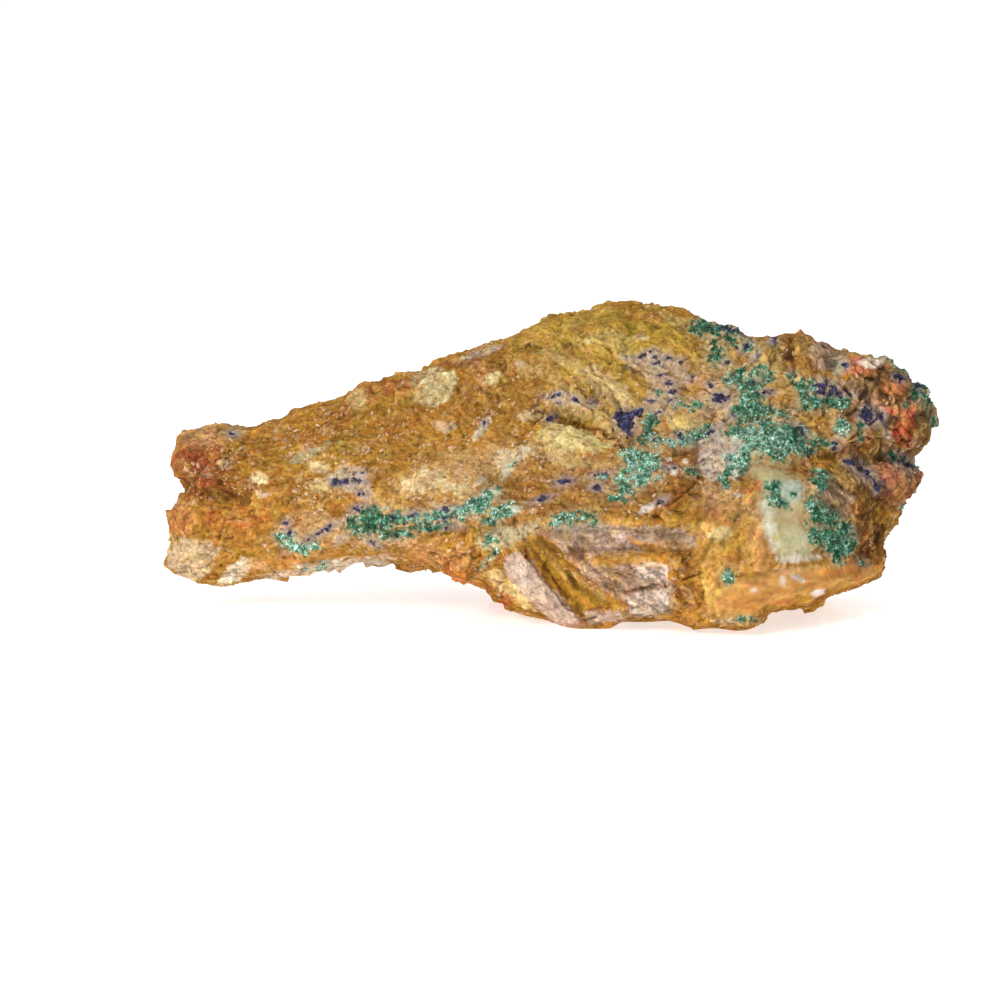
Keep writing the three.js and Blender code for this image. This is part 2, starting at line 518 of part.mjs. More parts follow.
const group = new THREE.Group();
group.name = "malachite_druse";
group.add(specimen);
group.position.set(-centre.x, -centre.y, -box.min.z);

export default group;
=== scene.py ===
"""A malachite and azurite druse on a pale studio floor.

A broken block of ochre limonite carries crusts of green malachite tufts and knots of dark azurite grains
on its leaning front face. The stone is refined from its CAD solid, and the crystals grow on it where the CAD
crusts lie.
"""

import itertools
import logging
import math
from collections.abc import Callable
from dataclasses import dataclass, field
from enum import Enum

import bpy
import numpy as np
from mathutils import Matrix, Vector
from mathutils.bvhtree import BVHTree


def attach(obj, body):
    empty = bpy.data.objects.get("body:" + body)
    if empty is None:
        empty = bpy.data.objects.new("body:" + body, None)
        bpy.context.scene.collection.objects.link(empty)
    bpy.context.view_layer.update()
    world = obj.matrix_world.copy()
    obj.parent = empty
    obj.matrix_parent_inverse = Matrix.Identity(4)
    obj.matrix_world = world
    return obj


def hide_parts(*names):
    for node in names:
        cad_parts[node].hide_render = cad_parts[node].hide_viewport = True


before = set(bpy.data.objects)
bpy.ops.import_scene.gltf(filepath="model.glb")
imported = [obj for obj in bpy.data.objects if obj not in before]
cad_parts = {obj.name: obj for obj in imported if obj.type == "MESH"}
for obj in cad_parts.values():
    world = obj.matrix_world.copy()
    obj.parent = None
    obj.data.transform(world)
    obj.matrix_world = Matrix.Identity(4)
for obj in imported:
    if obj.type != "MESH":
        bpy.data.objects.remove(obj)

log = logging.getLogger("druse")
MM = 0.001
BODY = "root"
STONE_NODE = "limonite_matrix"
ROCK_MATERIAL = "limonite_broken"
FAR = 1e9  # mm, farther than any place on the stone
TINY = 1e-9  # mm, stands in for 0 where it would divide


class Slot(Enum):
    """The record's material slots."""

    LIMONITE = "limonite"
    MALACHITE = "malachite"
    AZURITE = "azurite"


# ---------------------------------------------------------------- colours, nodes and noise


def linear(hex_colour: str) -> tuple[float, float, float, float]:
    """Turns an sRGB hex colour into linear RGBA.

    Args:
        hex_colour: six digits after a hash sign.

    Returns:
        Linear red, green, blue and an alpha of 1.
    """
    channels = (int(hex_colour[i : i + 2], 16) / 255 for i in (1, 3, 5))
    return (*(c / 12.92 if c <= 0.04045 else ((c + 0.055) / 1.055) ** 2.4 for c in channels), 1.0)


def add_node(
    tree: bpy.types.NodeTree, kind: str, settings: dict | None = None, **sockets: object,
) -> bpy.types.Node:
    """Adds a shader node with its settings and links.

    Args:
        tree: the material's or world's node tree.
        kind: the node's type name.
        settings: properties of the node itself.
        sockets: values for the inputs, by name with _ for a space, or s0, s1 for an input by its number.
            An output socket of another node is linked.

    Returns:
        The new node.
    """
    made = tree.nodes.new(kind)
    for name, value in (settings or {}).items():
        setattr(made, name, value)
    for name, value in sockets.items():
        key = int(name[1:]) if name[0] == "s" and name[1:].isdigit() else name.replace("_", " ")
        if isinstance(value, bpy.types.NodeSocket):
            tree.links.new(value, made.inputs[key])
        else:
            made.inputs[key].default_value = value
    return made


def smooth(low: float, high: float, x: np.ndarray) -> np.ndarray:
    """Rises smoothly from 0 at low to 1 at high; low may be above high."""
    s = np.clip((x - low) / (high - low), 0.0, 1.0)
    return s * s * (3.0 - 2.0 * s)


def scramble(cells: np.ndarray) -> np.ndarray:
    """Gives each cell of a lattice its own 64 well-mixed bits."""
    c = cells.astype(np.int64).astype(np.uint64)
    mix = c[:, 0] * np.uint64(0x9E3779B97F4A7C15)
    mix ^= c[:, 1] * np.uint64(0xC2B2AE3D27D4EB4F)
    mix ^= c[:, 2] * np.uint64(0x165667B19E3779F9)
    mix = (mix ^ (mix >> np.uint64(30))) * np.uint64(0xBF58476D1CE4E5B9)
    mix = (mix ^ (mix >> np.uint64(27))) * np.uint64(0x94D049BB133111EB)
    return mix ^ (mix >> np.uint64(31))


def part_of(bits: np.ndarray, place: int) -> np.ndarray:
    """Reads ten of the bits as a number from 0 to 1."""
    return ((bits >> np.uint64(10 * place)) & np.uint64(1023)) / 1023.0


def lumps(points: np.ndarray, size: float, seed: int = 0) -> np.ndarray:
    """Smooth lumps of one size.

    Args:
        points: positions in millimetres, one row each.
        size: the lumps' spacing in millimetres.
        seed: another seed gives other lumps.

    Returns:
        Values from about -1 to 1.
    """
    p = points / size + 31.7 * seed
    cell = np.floor(p)
    inside = p - cell
    fade = inside**3 * (inside * (inside * 6.0 - 15.0) + 10.0)
    total = np.zeros(len(p))
    for corner in itertools.product((0, 1), repeat=3):
        bits = scramble(cell + corner)
        turn = 2.0 * math.pi * part_of(bits, 0)
        rise = 2.0 * part_of(bits, 1) - 1.0
        flat = np.sqrt(1.0 - rise * rise)
        way = np.stack([flat * np.cos(turn), flat * np.sin(turn), rise], axis=1)
        weight = np.prod(np.where(corner, fade, 1.0 - fade), axis=1)
        total += weight * np.einsum("ij,ij->i", way, inside - corner)
    return 1.7 * total


def fractal(
    points: np.ndarray, size: float, octaves: int, seed: int = 0, gain: float = 0.5,
) -> np.ndarray:
    """Adds lumps of halving sizes.

    Args:
        points: positions in millimetres.
        size: the largest lumps' spacing in millimetres.
        octaves: how many sizes are added.
        seed: picks the pattern.
        gain: the height of each size beside the one before.

    Returns:
        Values from about -1 to 1.
    """
    return sum(gain**n * lumps(points, size / 2**n, seed + n) for n in range(octaves))


def chips(points: np.ndarray, size: float, seed: int = 0) -> tuple[np.ndarray, np.ndarray]:
    """Flat chips at chance tilts, as hammered rock breaks, with a small step from each to the next.

    Args:
        points: positions in millimetres.
        size: the chips' mean width in millimetres.
        seed: picks the pattern.

    Returns:
        The height of each place on its own chip, from about -0.5 to 0.5, and its distance from the chip's
        edge as a share of the size.
    """
    p = points / size + 17.3 * seed
    cell = np.floor(p)
    nearest = np.full(len(p), 9.0)
    second = np.full(len(p), 9.0)
    height = np.zeros(len(p))
    for corner in itertools.product((-1, 0, 1), repeat=3):
        bits = scramble(cell + corner)
        seat = np.stack([part_of(bits, n) for n in range(3)], axis=1)
        away = p - cell - corner - seat
        far = np.einsum("ij,ij->i", away, away)
        tilted = sum((part_of(bits, 3 + n) - 0.5) * away[:, n] for n in range(3))
        closer = far < nearest
        second = np.where(closer, nearest, np.minimum(second, far))
        height = np.where(closer, 1.1 * tilted, height)
        nearest = np.where(closer, far, nearest)
    return height, np.sqrt(second) - np.sqrt(nearest)


# ---------------------------------------------------------------- the leaning face


@dataclass(frozen=True)
class Face:
    """The front face's own frame in millimetres: u along the stone, v up the face, t out of it.

    Attributes:
        lean: how far the face leans back, in radians.
        origin: where its frame starts on the object.
        spread_u: the u of the line that the stone widens from, towards its back.
        spread_v: the v of that line.
        spread_length: how far in front of the face the widening starts.
    """

    lean: float = math.radians(10.0)
    origin: tuple[float, float, float] = (0.449, -0.879, -4.689)
    spread_u: float = -11.6
    spread_v: float = 30.4
    spread_length: float = 650.0

    def flatten(self, points: np.ndarray) -> np.ndarray:
        """Turns points of the object, in millimetres, into x along, y up and t out of the face."""
        x, y, z = (points - self.origin).T
        sine, cosine = math.sin(self.lean), math.cos(self.lean)
        return np.stack([x, y * sine + z * cosine, z * sine - y * cosine], axis=1)

    def raise_up(self, flat: np.ndarray) -> np.ndarray:
        """Turns x, y, t of the face back into points of the object, in millimetres."""
        x, y, t = flat.T
        sine, cosine = math.sin(self.lean), math.cos(self.lean)
        return np.stack([x, y * sine - t * cosine, y * cosine + t * sine], axis=1) + self.origin

    def unspread(self, flat: np.ndarray) -> np.ndarray:
        """Turns x, y, t into u, v, t: the stone widens to the back by t over the spread length."""
        x, y, t = flat.T
        spread = 1.0 - t / self.spread_length
        return np.stack(
            [
                self.spread_u + (x - self.spread_u) / spread,
                self.spread_v + (y - self.spread_v) / spread, t,
            ],
            axis=1,
        )

    def spread(self, u: float, v: float, t: float) -> tuple[float, float, float]:
        """Turns u, v, t into x, y, t."""
        spread = 1.0 - t / self.spread_length
        return self.spread_u + (u - self.spread_u) * spread, self.spread_v + (v - self.spread_v) * spread, t


FACE = Face()


# ---------------------------------------------------------------- meshes


def deselect() -> None:
    """Leaves object mode with nothing selected."""
    if bpy.context.object and bpy.context.object.mode != "OBJECT":
        bpy.ops.object.mode_set(mode="OBJECT")
    bpy.ops.object.select_all(action="DESELECT")


def activate(obj: bpy.types.Object) -> None:
    """Selects one object alone and makes it active."""
    deselect()
    obj.select_set(True)
    bpy.context.view_layer.objects.active = obj


def apply_modifier(obj: bpy.types.Object, kind: str, **settings: object) -> None:
    """Adds a modifier with its settings and applies it."""
    activate(obj)
    modifier = obj.modifiers.new(kind.lower(), kind)
    for name, value in settings.items():
        setattr(modifier, name, value)
    bpy.ops.object.modifier_apply(modifier=modifier.name)


def copy_of_node(node: str, name: str) -> bpy.types.Object:
    """Copies a CAD node into a new object with its loose triangles joined.

    Args:
        node: the CAD node.
        name: the new object's name.

    Returns:
        The copy, at the origin.
    """
    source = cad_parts[node]
    obj = bpy.data.objects.new(name, source.data.copy())
    obj.data.name = name
    obj.data.materials.clear()
    bpy.context.scene.collection.objects.link(obj)
    activate(obj)
    bpy.ops.object.mode_set(mode="EDIT")
    bpy.ops.mesh.select_all(action="SELECT")
    bpy.ops.mesh.remove_doubles(threshold=0.002 * MM)
    bpy.ops.object.mode_set(mode="OBJECT")
    return obj


def points_of(mesh: bpy.types.Mesh) -> np.ndarray:
    """Reads the vertices in millimetres, one row each."""
    flat = np.empty(3 * len(mesh.vertices))
    mesh.vertices.foreach_get("co", flat)
    return flat.reshape(-1, 3) / MM


def set_points(mesh: bpy.types.Mesh, points: np.ndarray) -> None:
    """Writes the vertices, given in millimetres."""
    mesh.vertices.foreach_set("co", (points * MM).ravel())
    mesh.update()


def normals_of(mesh: bpy.types.Mesh) -> np.ndarray:
    """Reads the vertex normals, one row each."""
    flat = np.empty(3 * len(mesh.vertices))
    mesh.vertex_normals.foreach_get("vector", flat)
    return flat.reshape(-1, 3)


def paint(mesh: bpy.types.Mesh, name: str, values: np.ndarray) -> None:
    """Keeps one number or one linear RGB colour for each vertex as an attribute.

    Args:
        mesh: the mesh.
        name: the attribute's name, which its material reads.
        values: one number, or one row of three, for each vertex.
    """
    if values.ndim == 1:
        mesh.attributes.new(name, "FLOAT", "POINT").data.foreach_set("value", values)
        return
    rgba = np.concatenate([values, np.ones((len(values), 1))], axis=1)
    mesh.attributes.new(name, "FLOAT_COLOR", "POINT").data.foreach_set("color", rgba.ravel())


def dress(obj: bpy.types.Object, material: bpy.types.Material, slot: Slot, *nodes: str) -> None:
    """Gives a finished piece its material and its place in the frame.

    Args:
        obj: the piece.
        material: its finish.
        slot: the record's slot for it; not used.
        nodes: the CAD nodes that it stands for.
    """
    obj.data.materials.append(material)
    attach(obj, BODY)
    if nodes:
        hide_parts(*nodes)
    log.info("%s: %d faces", obj.name, len(obj.data.polygons))


# ---------------------------------------------------------------- finishes


@dataclass(frozen=True)
class LimoniteFinish:
    """Broken limonite and weathered dolomite: matt and gritty, with small pale carbonate specks."""

    blotch: float = 2.6  # mm between darker and paler blotches
    grain: float = 0.7  # mm between grains of the broken rock
    grit: float = 0.32  # mm, the finest grit, drawn as coarse as it needs to be to show
    speck: float = 0.95  # mm, the cells that pale specks fill
    relief: float = 0.2  # mm, height of the grain
    roughness: float = 0.95
    sheen: float = 0.07
    pale: str = "#dfbd98"  # colour of the specks

    def material(self) -> bpy.types.Material:
        """Makes the rock's material.

        Returns:
            A material that reads the mesh's stone_colour, gritty and speckle attributes.
        """
        made = bpy.data.materials.new(ROCK_MATERIAL)
        made.use_nodes = True
        tree = made.node_tree
        shader = tree.nodes["Principled BSDF"]
        place = add_node(tree, "ShaderNodeTexCoord").outputs["Object"]
        colour = add_node(
            tree, "ShaderNodeAttribute", {"attribute_name": "stone_colour"},
        ).outputs["Color"]
        rough = add_node(tree, "ShaderNodeAttribute", {"attribute_name": "gritty"}).outputs["Fac"]
        swarm = add_node(tree, "ShaderNodeAttribute", {"attribute_name": "speckle"}).outputs["Fac"]
        blotch, grain, grit = (
            add_node(
                tree, "ShaderNodeTexNoise", None, Vector=place, Scale=1 / (size * MM), Detail=detail,
                Roughness=0.65,
            )
            for size, detail in ((self.blotch, 4.0), (self.grain, 3.0), (self.grit, 2.0))
        )
        # Paler and darker blotches that also shift between yellow and rust, then single grains and grit.
        tone, grains, sharp = (
            add_node(
                tree, "ShaderNodeMapRange", None, Value=noise.outputs["Fac"], s1=low, s2=1.0 - low,
                s3=1.0 - swing, s4=1.0 + swing,
            ).outputs[0]
            for noise, low, swing in ((blotch, 0.3, 0.2), (grain, 0.28, 0.3), (grit, 0.3, 0.2))
        )
        both = add_node(tree, "ShaderNodeMath", {"operation": "MULTIPLY"}, s0=tone, s1=grains)
        both = add_node(tree, "ShaderNodeMath", {"operation": "MULTIPLY"}, s0=both.outputs[0], s1=sharp)
        # Where the rock is worn smooth, its grains show less.
        both = add_node(tree, "ShaderNodeMath", {"operation": "SUBTRACT"}, s0=both.outputs[0], s1=1.0)
        both = add_node(
            tree, "ShaderNodeMath", {"operation": "MULTIPLY_ADD"}, s0=both.outputs[0], s1=rough, s2=1.0,
        )
        hues = add_node(tree, "ShaderNodeSeparateColor", None, Color=blotch.outputs["Color"])
        hue = add_node(
            tree, "ShaderNodeMapRange", None, Value=hues.outputs["Green"], s1=0.35, s2=0.65, s3=0.488,
            s4=0.512,
        )
        toned = add_node(
            tree, "ShaderNodeHueSaturation", None, Color=colour, Value=both.outputs[0],
            Hue=hue.outputs[0],
        )
        # Pale carbonate specks in two sizes, thick where the swarm attribute is high.
        small = self.flecks(tree, place, grain.outputs["Color"], swarm, self.speck, 0.24)
        large = self.flecks(tree, place, grain.outputs["Color"], swarm, 2.0 * self.speck, 0.14)
        share = add_node(tree, "ShaderNodeMath", {"operation": "MAXIMUM"}, s0=small, s1=large).outputs[0]
        specked = add_node(
            tree, "ShaderNodeMix", {"data_type": "RGBA"}, Factor=share, s6=toned.outputs[0],
            s7=linear(self.pale),
        )
        tree.links.new(specked.outputs[2], shader.inputs["Base Color"])
        fine = add_node(
            tree, "ShaderNodeMath", {"operation": "MULTIPLY_ADD"},
            s0=grit.outputs["Fac"], s1=0.4, s2=grain.outputs["Fac"],
        )
        height = add_node(
            tree, "ShaderNodeMath", {"operation": "MULTIPLY_ADD"}, s0=share, s1=0.35, s2=fine.outputs[0]
        )
        height = add_node(
            tree, "ShaderNodeMath", {"operation": "MULTIPLY"}, s0=height.outputs[0], s1=rough,
        )
        bump = add_node(
            tree, "ShaderNodeBump", None, Height=height.outputs[0], Strength=1.0,
            Distance=self.relief * MM,
        )
        tree.links.new(bump.outputs[0], shader.inputs["Normal"])
        shader.inputs["Roughness"].default_value = self.roughness
        shader.inputs["Specular IOR Level"].default_value = self.sheen
        return made

    def flecks(
        self, tree: bpy.types.NodeTree, place: bpy.types.NodeSocket, shift: bpy.types.NodeSocket,
        swarm: bpy.types.NodeSocket, size: float, most: float,
    ) -> bpy.types.NodeSocket:
        """Adds angular flecks of one size.

        Args:
            tree: the material's node tree.
            place: the coordinates.
            shift: a colour that frays the flecks' edges.
            swarm: how thick they lie, from 0 to 1.
            size: the width of their cells, in millimetres.
            most: the share of the cells that hold one where they lie thickest.

        Returns:
            How pale each place is, from 0 to 1.
        """
        frayed = add_node(
            tree, "ShaderNodeVectorMath", {"operation": "MULTIPLY_ADD"}, s0=shift,
            s1=(1.7 * size * MM,) * 3, s2=place,
        )
        cells = add_node(
            tree, "ShaderNodeTexVoronoi", {"distance": "MANHATTAN"},
            Vector=frayed.outputs[0], Scale=1 / (size * MM),
        )
        chance = add_node(
            tree, "ShaderNodeSeparateColor", None, Color=cells.outputs["Color"],
        ).outputs["Red"]
        bar = add_node(
            tree, "ShaderNodeMapRange", None, Value=swarm, s1=0.3, s2=1.0, s3=1.0, s4=1.0 - most,
        ).outputs[0]
        over = add_node(tree, "ShaderNodeMath", {"operation": "SUBTRACT"}, s0=chance, s1=bar)
        chosen = add_node(
            tree, "ShaderNodeMapRange", None, Value=over.outputs[0], s1=0.0, s2=0.16, s3=0.15, s4=0.85,
        ).outputs[0]
        kept = add_node(
            tree, "ShaderNodeMath", {"operation": "GREATER_THAN"}, s0=chance, s1=bar,
        ).outputs[0]
        core = add_node(
            tree, "ShaderNodeMapRange", None, Value=cells.outputs["Distance"], s1=0.6, s2=0.74, s3=1.0,
            s4=0.0,
        ).outputs[0]
        inside = add_node(tree, "ShaderNodeMath", {"operation": "MULTIPLY"}, s0=kept, s1=core).outputs[0]
        return add_node(
            tree, "ShaderNodeMath", {"operation": "MULTIPLY"}, s0=chosen, s1=inside,
        ).outputs[0]


@dataclass(frozen=True)
class CrystalFinish:
    """A crystal aggregate: painted shade at the roots, tips paler partly as painted highlight, each its own
    shade.
    """

    name: str
    root: str
    body: str
    tip: str
    pale: str
    roughness: float
    ior: float

    def material(self) -> bpy.types.Material:
        """Makes the crystals' material.

        Returns:
            A material that reads the mesh's tip and shade attributes.
        """
        made = bpy.data.materials.new(self.name)
        made.use_nodes = True
        tree = made.node_tree
        shader = tree.nodes["Principled BSDF"]
        tip = add_node(tree, "ShaderNodeAttribute", {"attribute_name": "tip"}).outputs["Fac"]
        shade = add_node(tree, "ShaderNodeAttribute", {"attribute_name": "shade"}).outputs["Fac"]
        # Painted shade darkens each crystal towards its root, and the tip is paler, partly as a painted
        # highlight.
        ramp = add_node(tree, "ShaderNodeValToRGB", None, Fac=tip)
        ramp.color_ramp.elements[0].color = linear(self.root)
        ramp.color_ramp.elements[1].color = linear(self.tip)
        ramp.color_ramp.elements.new(0.5).color = linear(self.body)
        # Shades above 0 pale the crystal, partly as painted glints, and those below darken it.
        paleness = add_node(
            tree, "ShaderNodeMapRange", None, Value=shade, s1=0.0, s2=1.0, s3=0.0, s4=1.0,
        )
        pale = add_node(
            tree, "ShaderNodeMix", {"data_type": "RGBA"},
            Factor=paleness.outputs[0], s6=ramp.outputs["Color"], s7=linear(self.pale),
        )
        place = add_node(tree, "ShaderNodeTexCoord").outputs["Object"]
        vary = add_node(tree, "ShaderNodeTexNoise", None, Vector=place, Scale=1 / (1.1 * MM), Detail=2.0)
        value = add_node(
            tree, "ShaderNodeMapRange", None, Value=vary.outputs["Fac"], s1=0.32, s2=0.68, s3=0.7,
            s4=1.55,
        )
        dark = add_node(tree, "ShaderNodeMapRange", None, Value=shade, s1=-1.0, s2=0.0, s3=0.25, s4=1.0)
        both = add_node(
            tree, "ShaderNodeMath", {"operation": "MULTIPLY"}, s0=value.outputs[0], s1=dark.outputs[0],
        )
        varied = add_node(
            tree, "ShaderNodeHueSaturation", None, Color=pale.outputs[2], Value=both.outputs[0],
        )
        tree.links.new(varied.outputs[0], shader.inputs["Base Color"])
        shader.inputs["Roughness"].default_value = self.roughness
        shader.inputs["IOR"].default_value = self.ior
        return made


# Malachite in needle tufts: silky green, painted almost black at the roots as shade in the gaps, and mint
# at the tips, partly as a painted highlight.
MALACHITE = CrystalFinish("malachite_needles", "#0b4232", "#2f966c", "#7ed2a8", "#d8f4e8", 0.4, 1.6)
# Azurite in small blocky grains: glassy, so dark that only edges show the blue-violet, with painted shade at
# the roots.
AZURITE = CrystalFinish("azurite_grains", "#0b0822", "#18123c", "#29215c", "#59547c", 0.4, 1.6)


# ---------------------------------------------------------------- where the crusts lie


@dataclass
class CrustMap:
    """Where each CAD crust lies on the face, as a fine grid over x and y.

    Attributes:
        step: the width of a cell.
        low: the grid's lowest x and y, in millimetres.
        high: its highest.
        names: the crusts' nodes.
        owner: the number of the crust in each cell, or -1.
    """

    step: float = 0.25  # mm
    low: tuple[float, float] = (-96.0, -8.0)
    high: tuple[float, float] = (96.0, 84.0)
    names: list[str] = field(default_factory=list)
    owner: np.ndarray = field(init=False)

    def __post_init__(self) -> None:
        """Finds, in each cell, the crust that a line along t meets."""
        self.names = sorted(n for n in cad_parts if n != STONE_NODE)
        shape = [int((h - l) / self.step) + 1 for l, h in zip(self.low, self.high)]
        self.owner = np.full(shape, -1)
        for number, name in enumerate(self.names):
            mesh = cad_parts[name].data
            flat = FACE.flatten(points_of(mesh))
            tree = BVHTree.FromPolygons(flat.tolist(), [tuple(p.vertices) for p in mesh.polygons])
            first, last = (self.cell(edge[None, :2])[0] for edge in (flat.min(0), flat.max(0)))
            for i in range(first[0], last[0] + 1):
                for j in range(first[1], last[1] + 1):
                    start = Vector((self.low[0] + i * self.step, self.low[1] + j * self.step, 90.0))
                    if tree.ray_cast(start, Vector((0.0, 0.0, -1.0)))[0]:
                        self.owner[i, j] = number

    def cell(self, xy: np.ndarray) -> np.ndarray:
        """Gives the grid cell of each x, y."""
        index = np.round((xy - self.low) / self.step).astype(int)
        return np.clip(index, 0, np.array(self.owner.shape) - 1)

    def widened(self, reach: float) -> np.ndarray:
        """Gives each cell near a crust that crust's number, out to a reach in millimetres."""
        owner = self.owner.copy()
        for _ in range(int(reach / self.step)):
            for axis, way in itertools.product((0, 1), (1, -1)):
                owner = np.where(owner < 0, np.roll(owner, way, axis), owner)
        return owner

    def cover(self, kind: Slot, reach: float) -> np.ndarray:
        """Blurs the crusts of one kind into a soft cover.

        Args:
            kind: which mineral.
            reach: how far the cover fades out, in millimetres.

        Returns:
            A grid of values from 0 to 1.
        """
        wanted = [n for n, name in enumerate(self.names) if name.startswith(kind.value)]
        grid = np.isin(self.owner, wanted).astype(float)
        width = max(int(reach / self.step), 1)
        kernel = np.ones(2 * width + 1) / (2 * width + 1)
        for axis in (0, 1, 0, 1):
            grid = np.apply_along_axis(np.convolve, axis, grid, kernel, mode="same")
        return grid

    def look_up(self, grid: np.ndarray, flat: np.ndarray) -> np.ndarray:
        """Reads a grid at each place, given as x, y, t."""
        index = self.cell(flat[:, :2])
        return grid[index[:, 0], index[:, 1]]


# ---------------------------------------------------------------- patches of the face


@dataclass(frozen=True)
class Patch:
    """An oval place on the face, with half-lengths a and b and its long axis turned by turn degrees."""

    u: float
    v: float
    a: float
    b: float
    turn: float = 0.0

    def depth(self, place: np.ndarray) -> np.ndarray:
        """Gives how far inside the patch each u, v, t lies, in millimetres; negative outside."""
        turn = math.radians(self.turn)
        du, dv = place[:, 0] - self.u, place[:, 1] - self.v
        along = (du * math.cos(turn) + dv * math.sin(turn)) / self.a
        across = (dv * math.cos(turn) - du * math.sin(turn)) / self.b
        return min(self.a, self.b) * (1.0 - np.hypot(along, across))


@dataclass(frozen=True)
class Area:
    """A place on the face with a straight-sided outline of u, v points."""

    points: tuple[tuple[float, float], ...]

    def depth(self, place: np.ndarray) -> np.ndarray:
        """Gives how far inside the outline each u, v, t lies, in millimetres; negative outside."""
        u, v = place[:, 0], place[:, 1]
        nearest = np.full(len(place), FAR)
        inside = np.zeros(len(place), bool)
        for (au, av), (bu, bv) in zip(self.points, self.points[1:] + self.points[:1]):
            du, dv = bu - au, (bv - av) or TINY
            share = np.clip(((u - au) * du + (v - av) * dv) / (du * du + dv * dv), 0.0, 1.0)
            nearest = np.minimum(nearest, np.hypot(u - au - share * du, v - av - share * dv))
            inside ^= ((av > v) != (bv > v)) & (u < au + (v - av) / dv * du)
        return np.where(inside, nearest, -nearest)


def within(
    patches: tuple[Patch | Area, ...], place: np.ndarray, outer: float = -1.0, inner: float = 1.0,
) -> np.ndarray:
    """Gives how much each place belongs to any of some patches.

    Args:
        patches: the patches or areas.
        place: each place's u, v, t.
        outer: the depth in millimetres where belonging starts; it is outside where negative.
        inner: the depth where it is full.

    Returns:
        Shares from 0 to 1.
    """
    return np.max([smooth(outer, inner, patch.depth(place)) for patch in patches], axis=0)


@dataclass(frozen=True)
class Stain:
    """A patch of another colour with a ragged edge."""

    colour: str
    patch: Patch | Area
    strength: float = 0.8
    edge: float = 0.5  # mm over which it fades
    ragged: float = 1.3  # mm that its edge wanders


@dataclass(frozen=True)
class Fabric:
    """How the rock breaks in one part of the face: long chips along its beds.

    Attributes:
        patch: where.
        strike: the direction of the beds on the face, in degrees.
        size: width of the chips across the beds, in millimetres.
        stretch: length of the chips beside their width.
        height: how much the chips stand out, in millimetres.
        crack: depth of the cracks between them, in millimetres.
        streak: how strongly the beds show in the colour.
    """

    patch: Patch
    strike: float
    size: float
    stretch: float
    height: float
    crack: float = 0.2
    streak: float = 0.2

    def relief(self, place: np.ndarray, seed: int) -> np.ndarray:
        """Gives the height of the broken surface at each u, v, t, in millimetres."""
        turn = math.radians(self.strike)
        along = (place[:, 0] * math.cos(turn) + place[:, 1] * math.sin(turn)) / self.stretch
        across = place[:, 1] * math.cos(turn) - place[:, 0] * math.sin(turn)
        bent = across + 0.55 * self.size * fractal(place, 3.0 * self.size, 2, seed)
        local = np.stack([along, bent, place[:, 2]], axis=1)
        broad, edge = chips(local, self.size, seed + 1)
        narrow, _ = chips(local, 0.45 * self.size, seed + 2)
        gap = np.exp(-((edge * self.size / 0.4) ** 2))
        return self.height * (broad + 0.5 * narrow) - self.crack * gap

    def streaks(self, place: np.ndarray, seed: int) -> np.ndarray:
        """Gives the tone of the streaks along the beds at each u, v, t, from about -1 to 1."""
        turn = math.radians(self.strike)
        along = (place[:, 0] * math.cos(turn) + place[:, 1] * math.sin(turn)) / (1.6 * self.stretch)
        across = place[:, 1] * math.cos(turn) - place[:, 0] * math.sin(turn)
        bent = across + 1.2 * fractal(place, 7.0, 2, seed)
        local = np.stack([along, bent, 0.5 * place[:, 2]], axis=1)
        return fractal(local, 2.6, 3, seed + 1, 0.8)


@dataclass(frozen=True)
class Crack:
    """A narrow cleft along a line of the face."""

    points: tuple[tuple[float, float], ...]
    depth: float
    width: float

    def cut(self, place: np.ndarray) -> np.ndarray:
        """Gives the depth of the cleft at each place, in millimetres."""
        nearest = np.full(len(place), FAR)
        for (au, av), (bu, bv) in zip(self.points, self.points[1:]):
            du, dv = bu - au, bv - av
            share = np.clip(
                ((place[:, 0] - au) * du + (place[:, 1] - av) * dv) / (du * du + dv * dv), 0, 1,
            )
            gap = np.hypot(place[:, 0] - au - share * du, place[:, 1] - av - share * dv)
            nearest = np.minimum(nearest, gap)
        return self.depth * np.exp(-((nearest / self.width) ** 2))


# The parts of the face that more than one thing depends on.
SLAB = Area((
    (-11.4, 15.2), (-10.4, 17.4), (-7.4, 18), (-5, 16.6), (-2.4, 13.4), (0, 10.6), (4.6, 5.2),
    (8.6, 0.8), (5, 0.4), (1.5, 1.2), (-0.5, 3), (-4.4, 6.6), (-8.4, 10.6),
))
SCOOP = Area((
    (-6.4, 20.4), (-4.8, 22), (-1.6, 21.6), (1.6, 19.8), (4, 17.2), (6.6, 13.4), (9.4, 11), (12, 9.2),
    (16.4, 7), (15.4, 5.4), (8, 5), (5, 5), (1, 9.8), (-2.2, 13.6),
))
BLOCK = Area((
    (5, 16.2), (9, 15.4), (14, 15), (20, 15.8), (27, 16), (29, 14.4), (26.8, 12.2), (28.4, 10),
    (26.9, 8), (28.6, 6.2), (26.4, 3), (17.6, 3.2), (16.6, 6.6), (12, 8.8), (9.4, 10.8), (6.8, 13.2),
))
BASE_BLOCK = Area(((8.2, 4.8), (16.6, 5), (17.4, 2), (8.8, 1.4)))
SHELF = Area((
    (-2, 22.4), (2, 24.8), (18, 24.8), (34, 23), (34, 20), (28, 18.6), (20.5, 17.8), (12.5, 18.2),
    (8, 15.4), (4, 16.4), (0, 21),
))
MOUND = Area((
    (44.5, 36.5), (46.7, 39.1), (53.3, 38.2), (57.6, 35.6), (58.8, 27.7), (60.4, 21), (61.4, 16.6),
    (56, 15.6), (53.3, 16.3), (51.5, 20.7), (49.6, 24.4), (48.7, 28), (48.9, 33),
))
FOOT = Patch(43, 18, 7, 10)
RING_GAP = Patch(56.3, 32.6, 3.0, 2.5)  # the pale ground inside the malachite ring
LIP = Area((
    (36, 4), (45, 3.5), (55, 7), (66, 9.5), (77.5, 13.5), (74, 15.8), (64, 16), (52, 14.6),
    (44.5, 12), (38, 8),
))

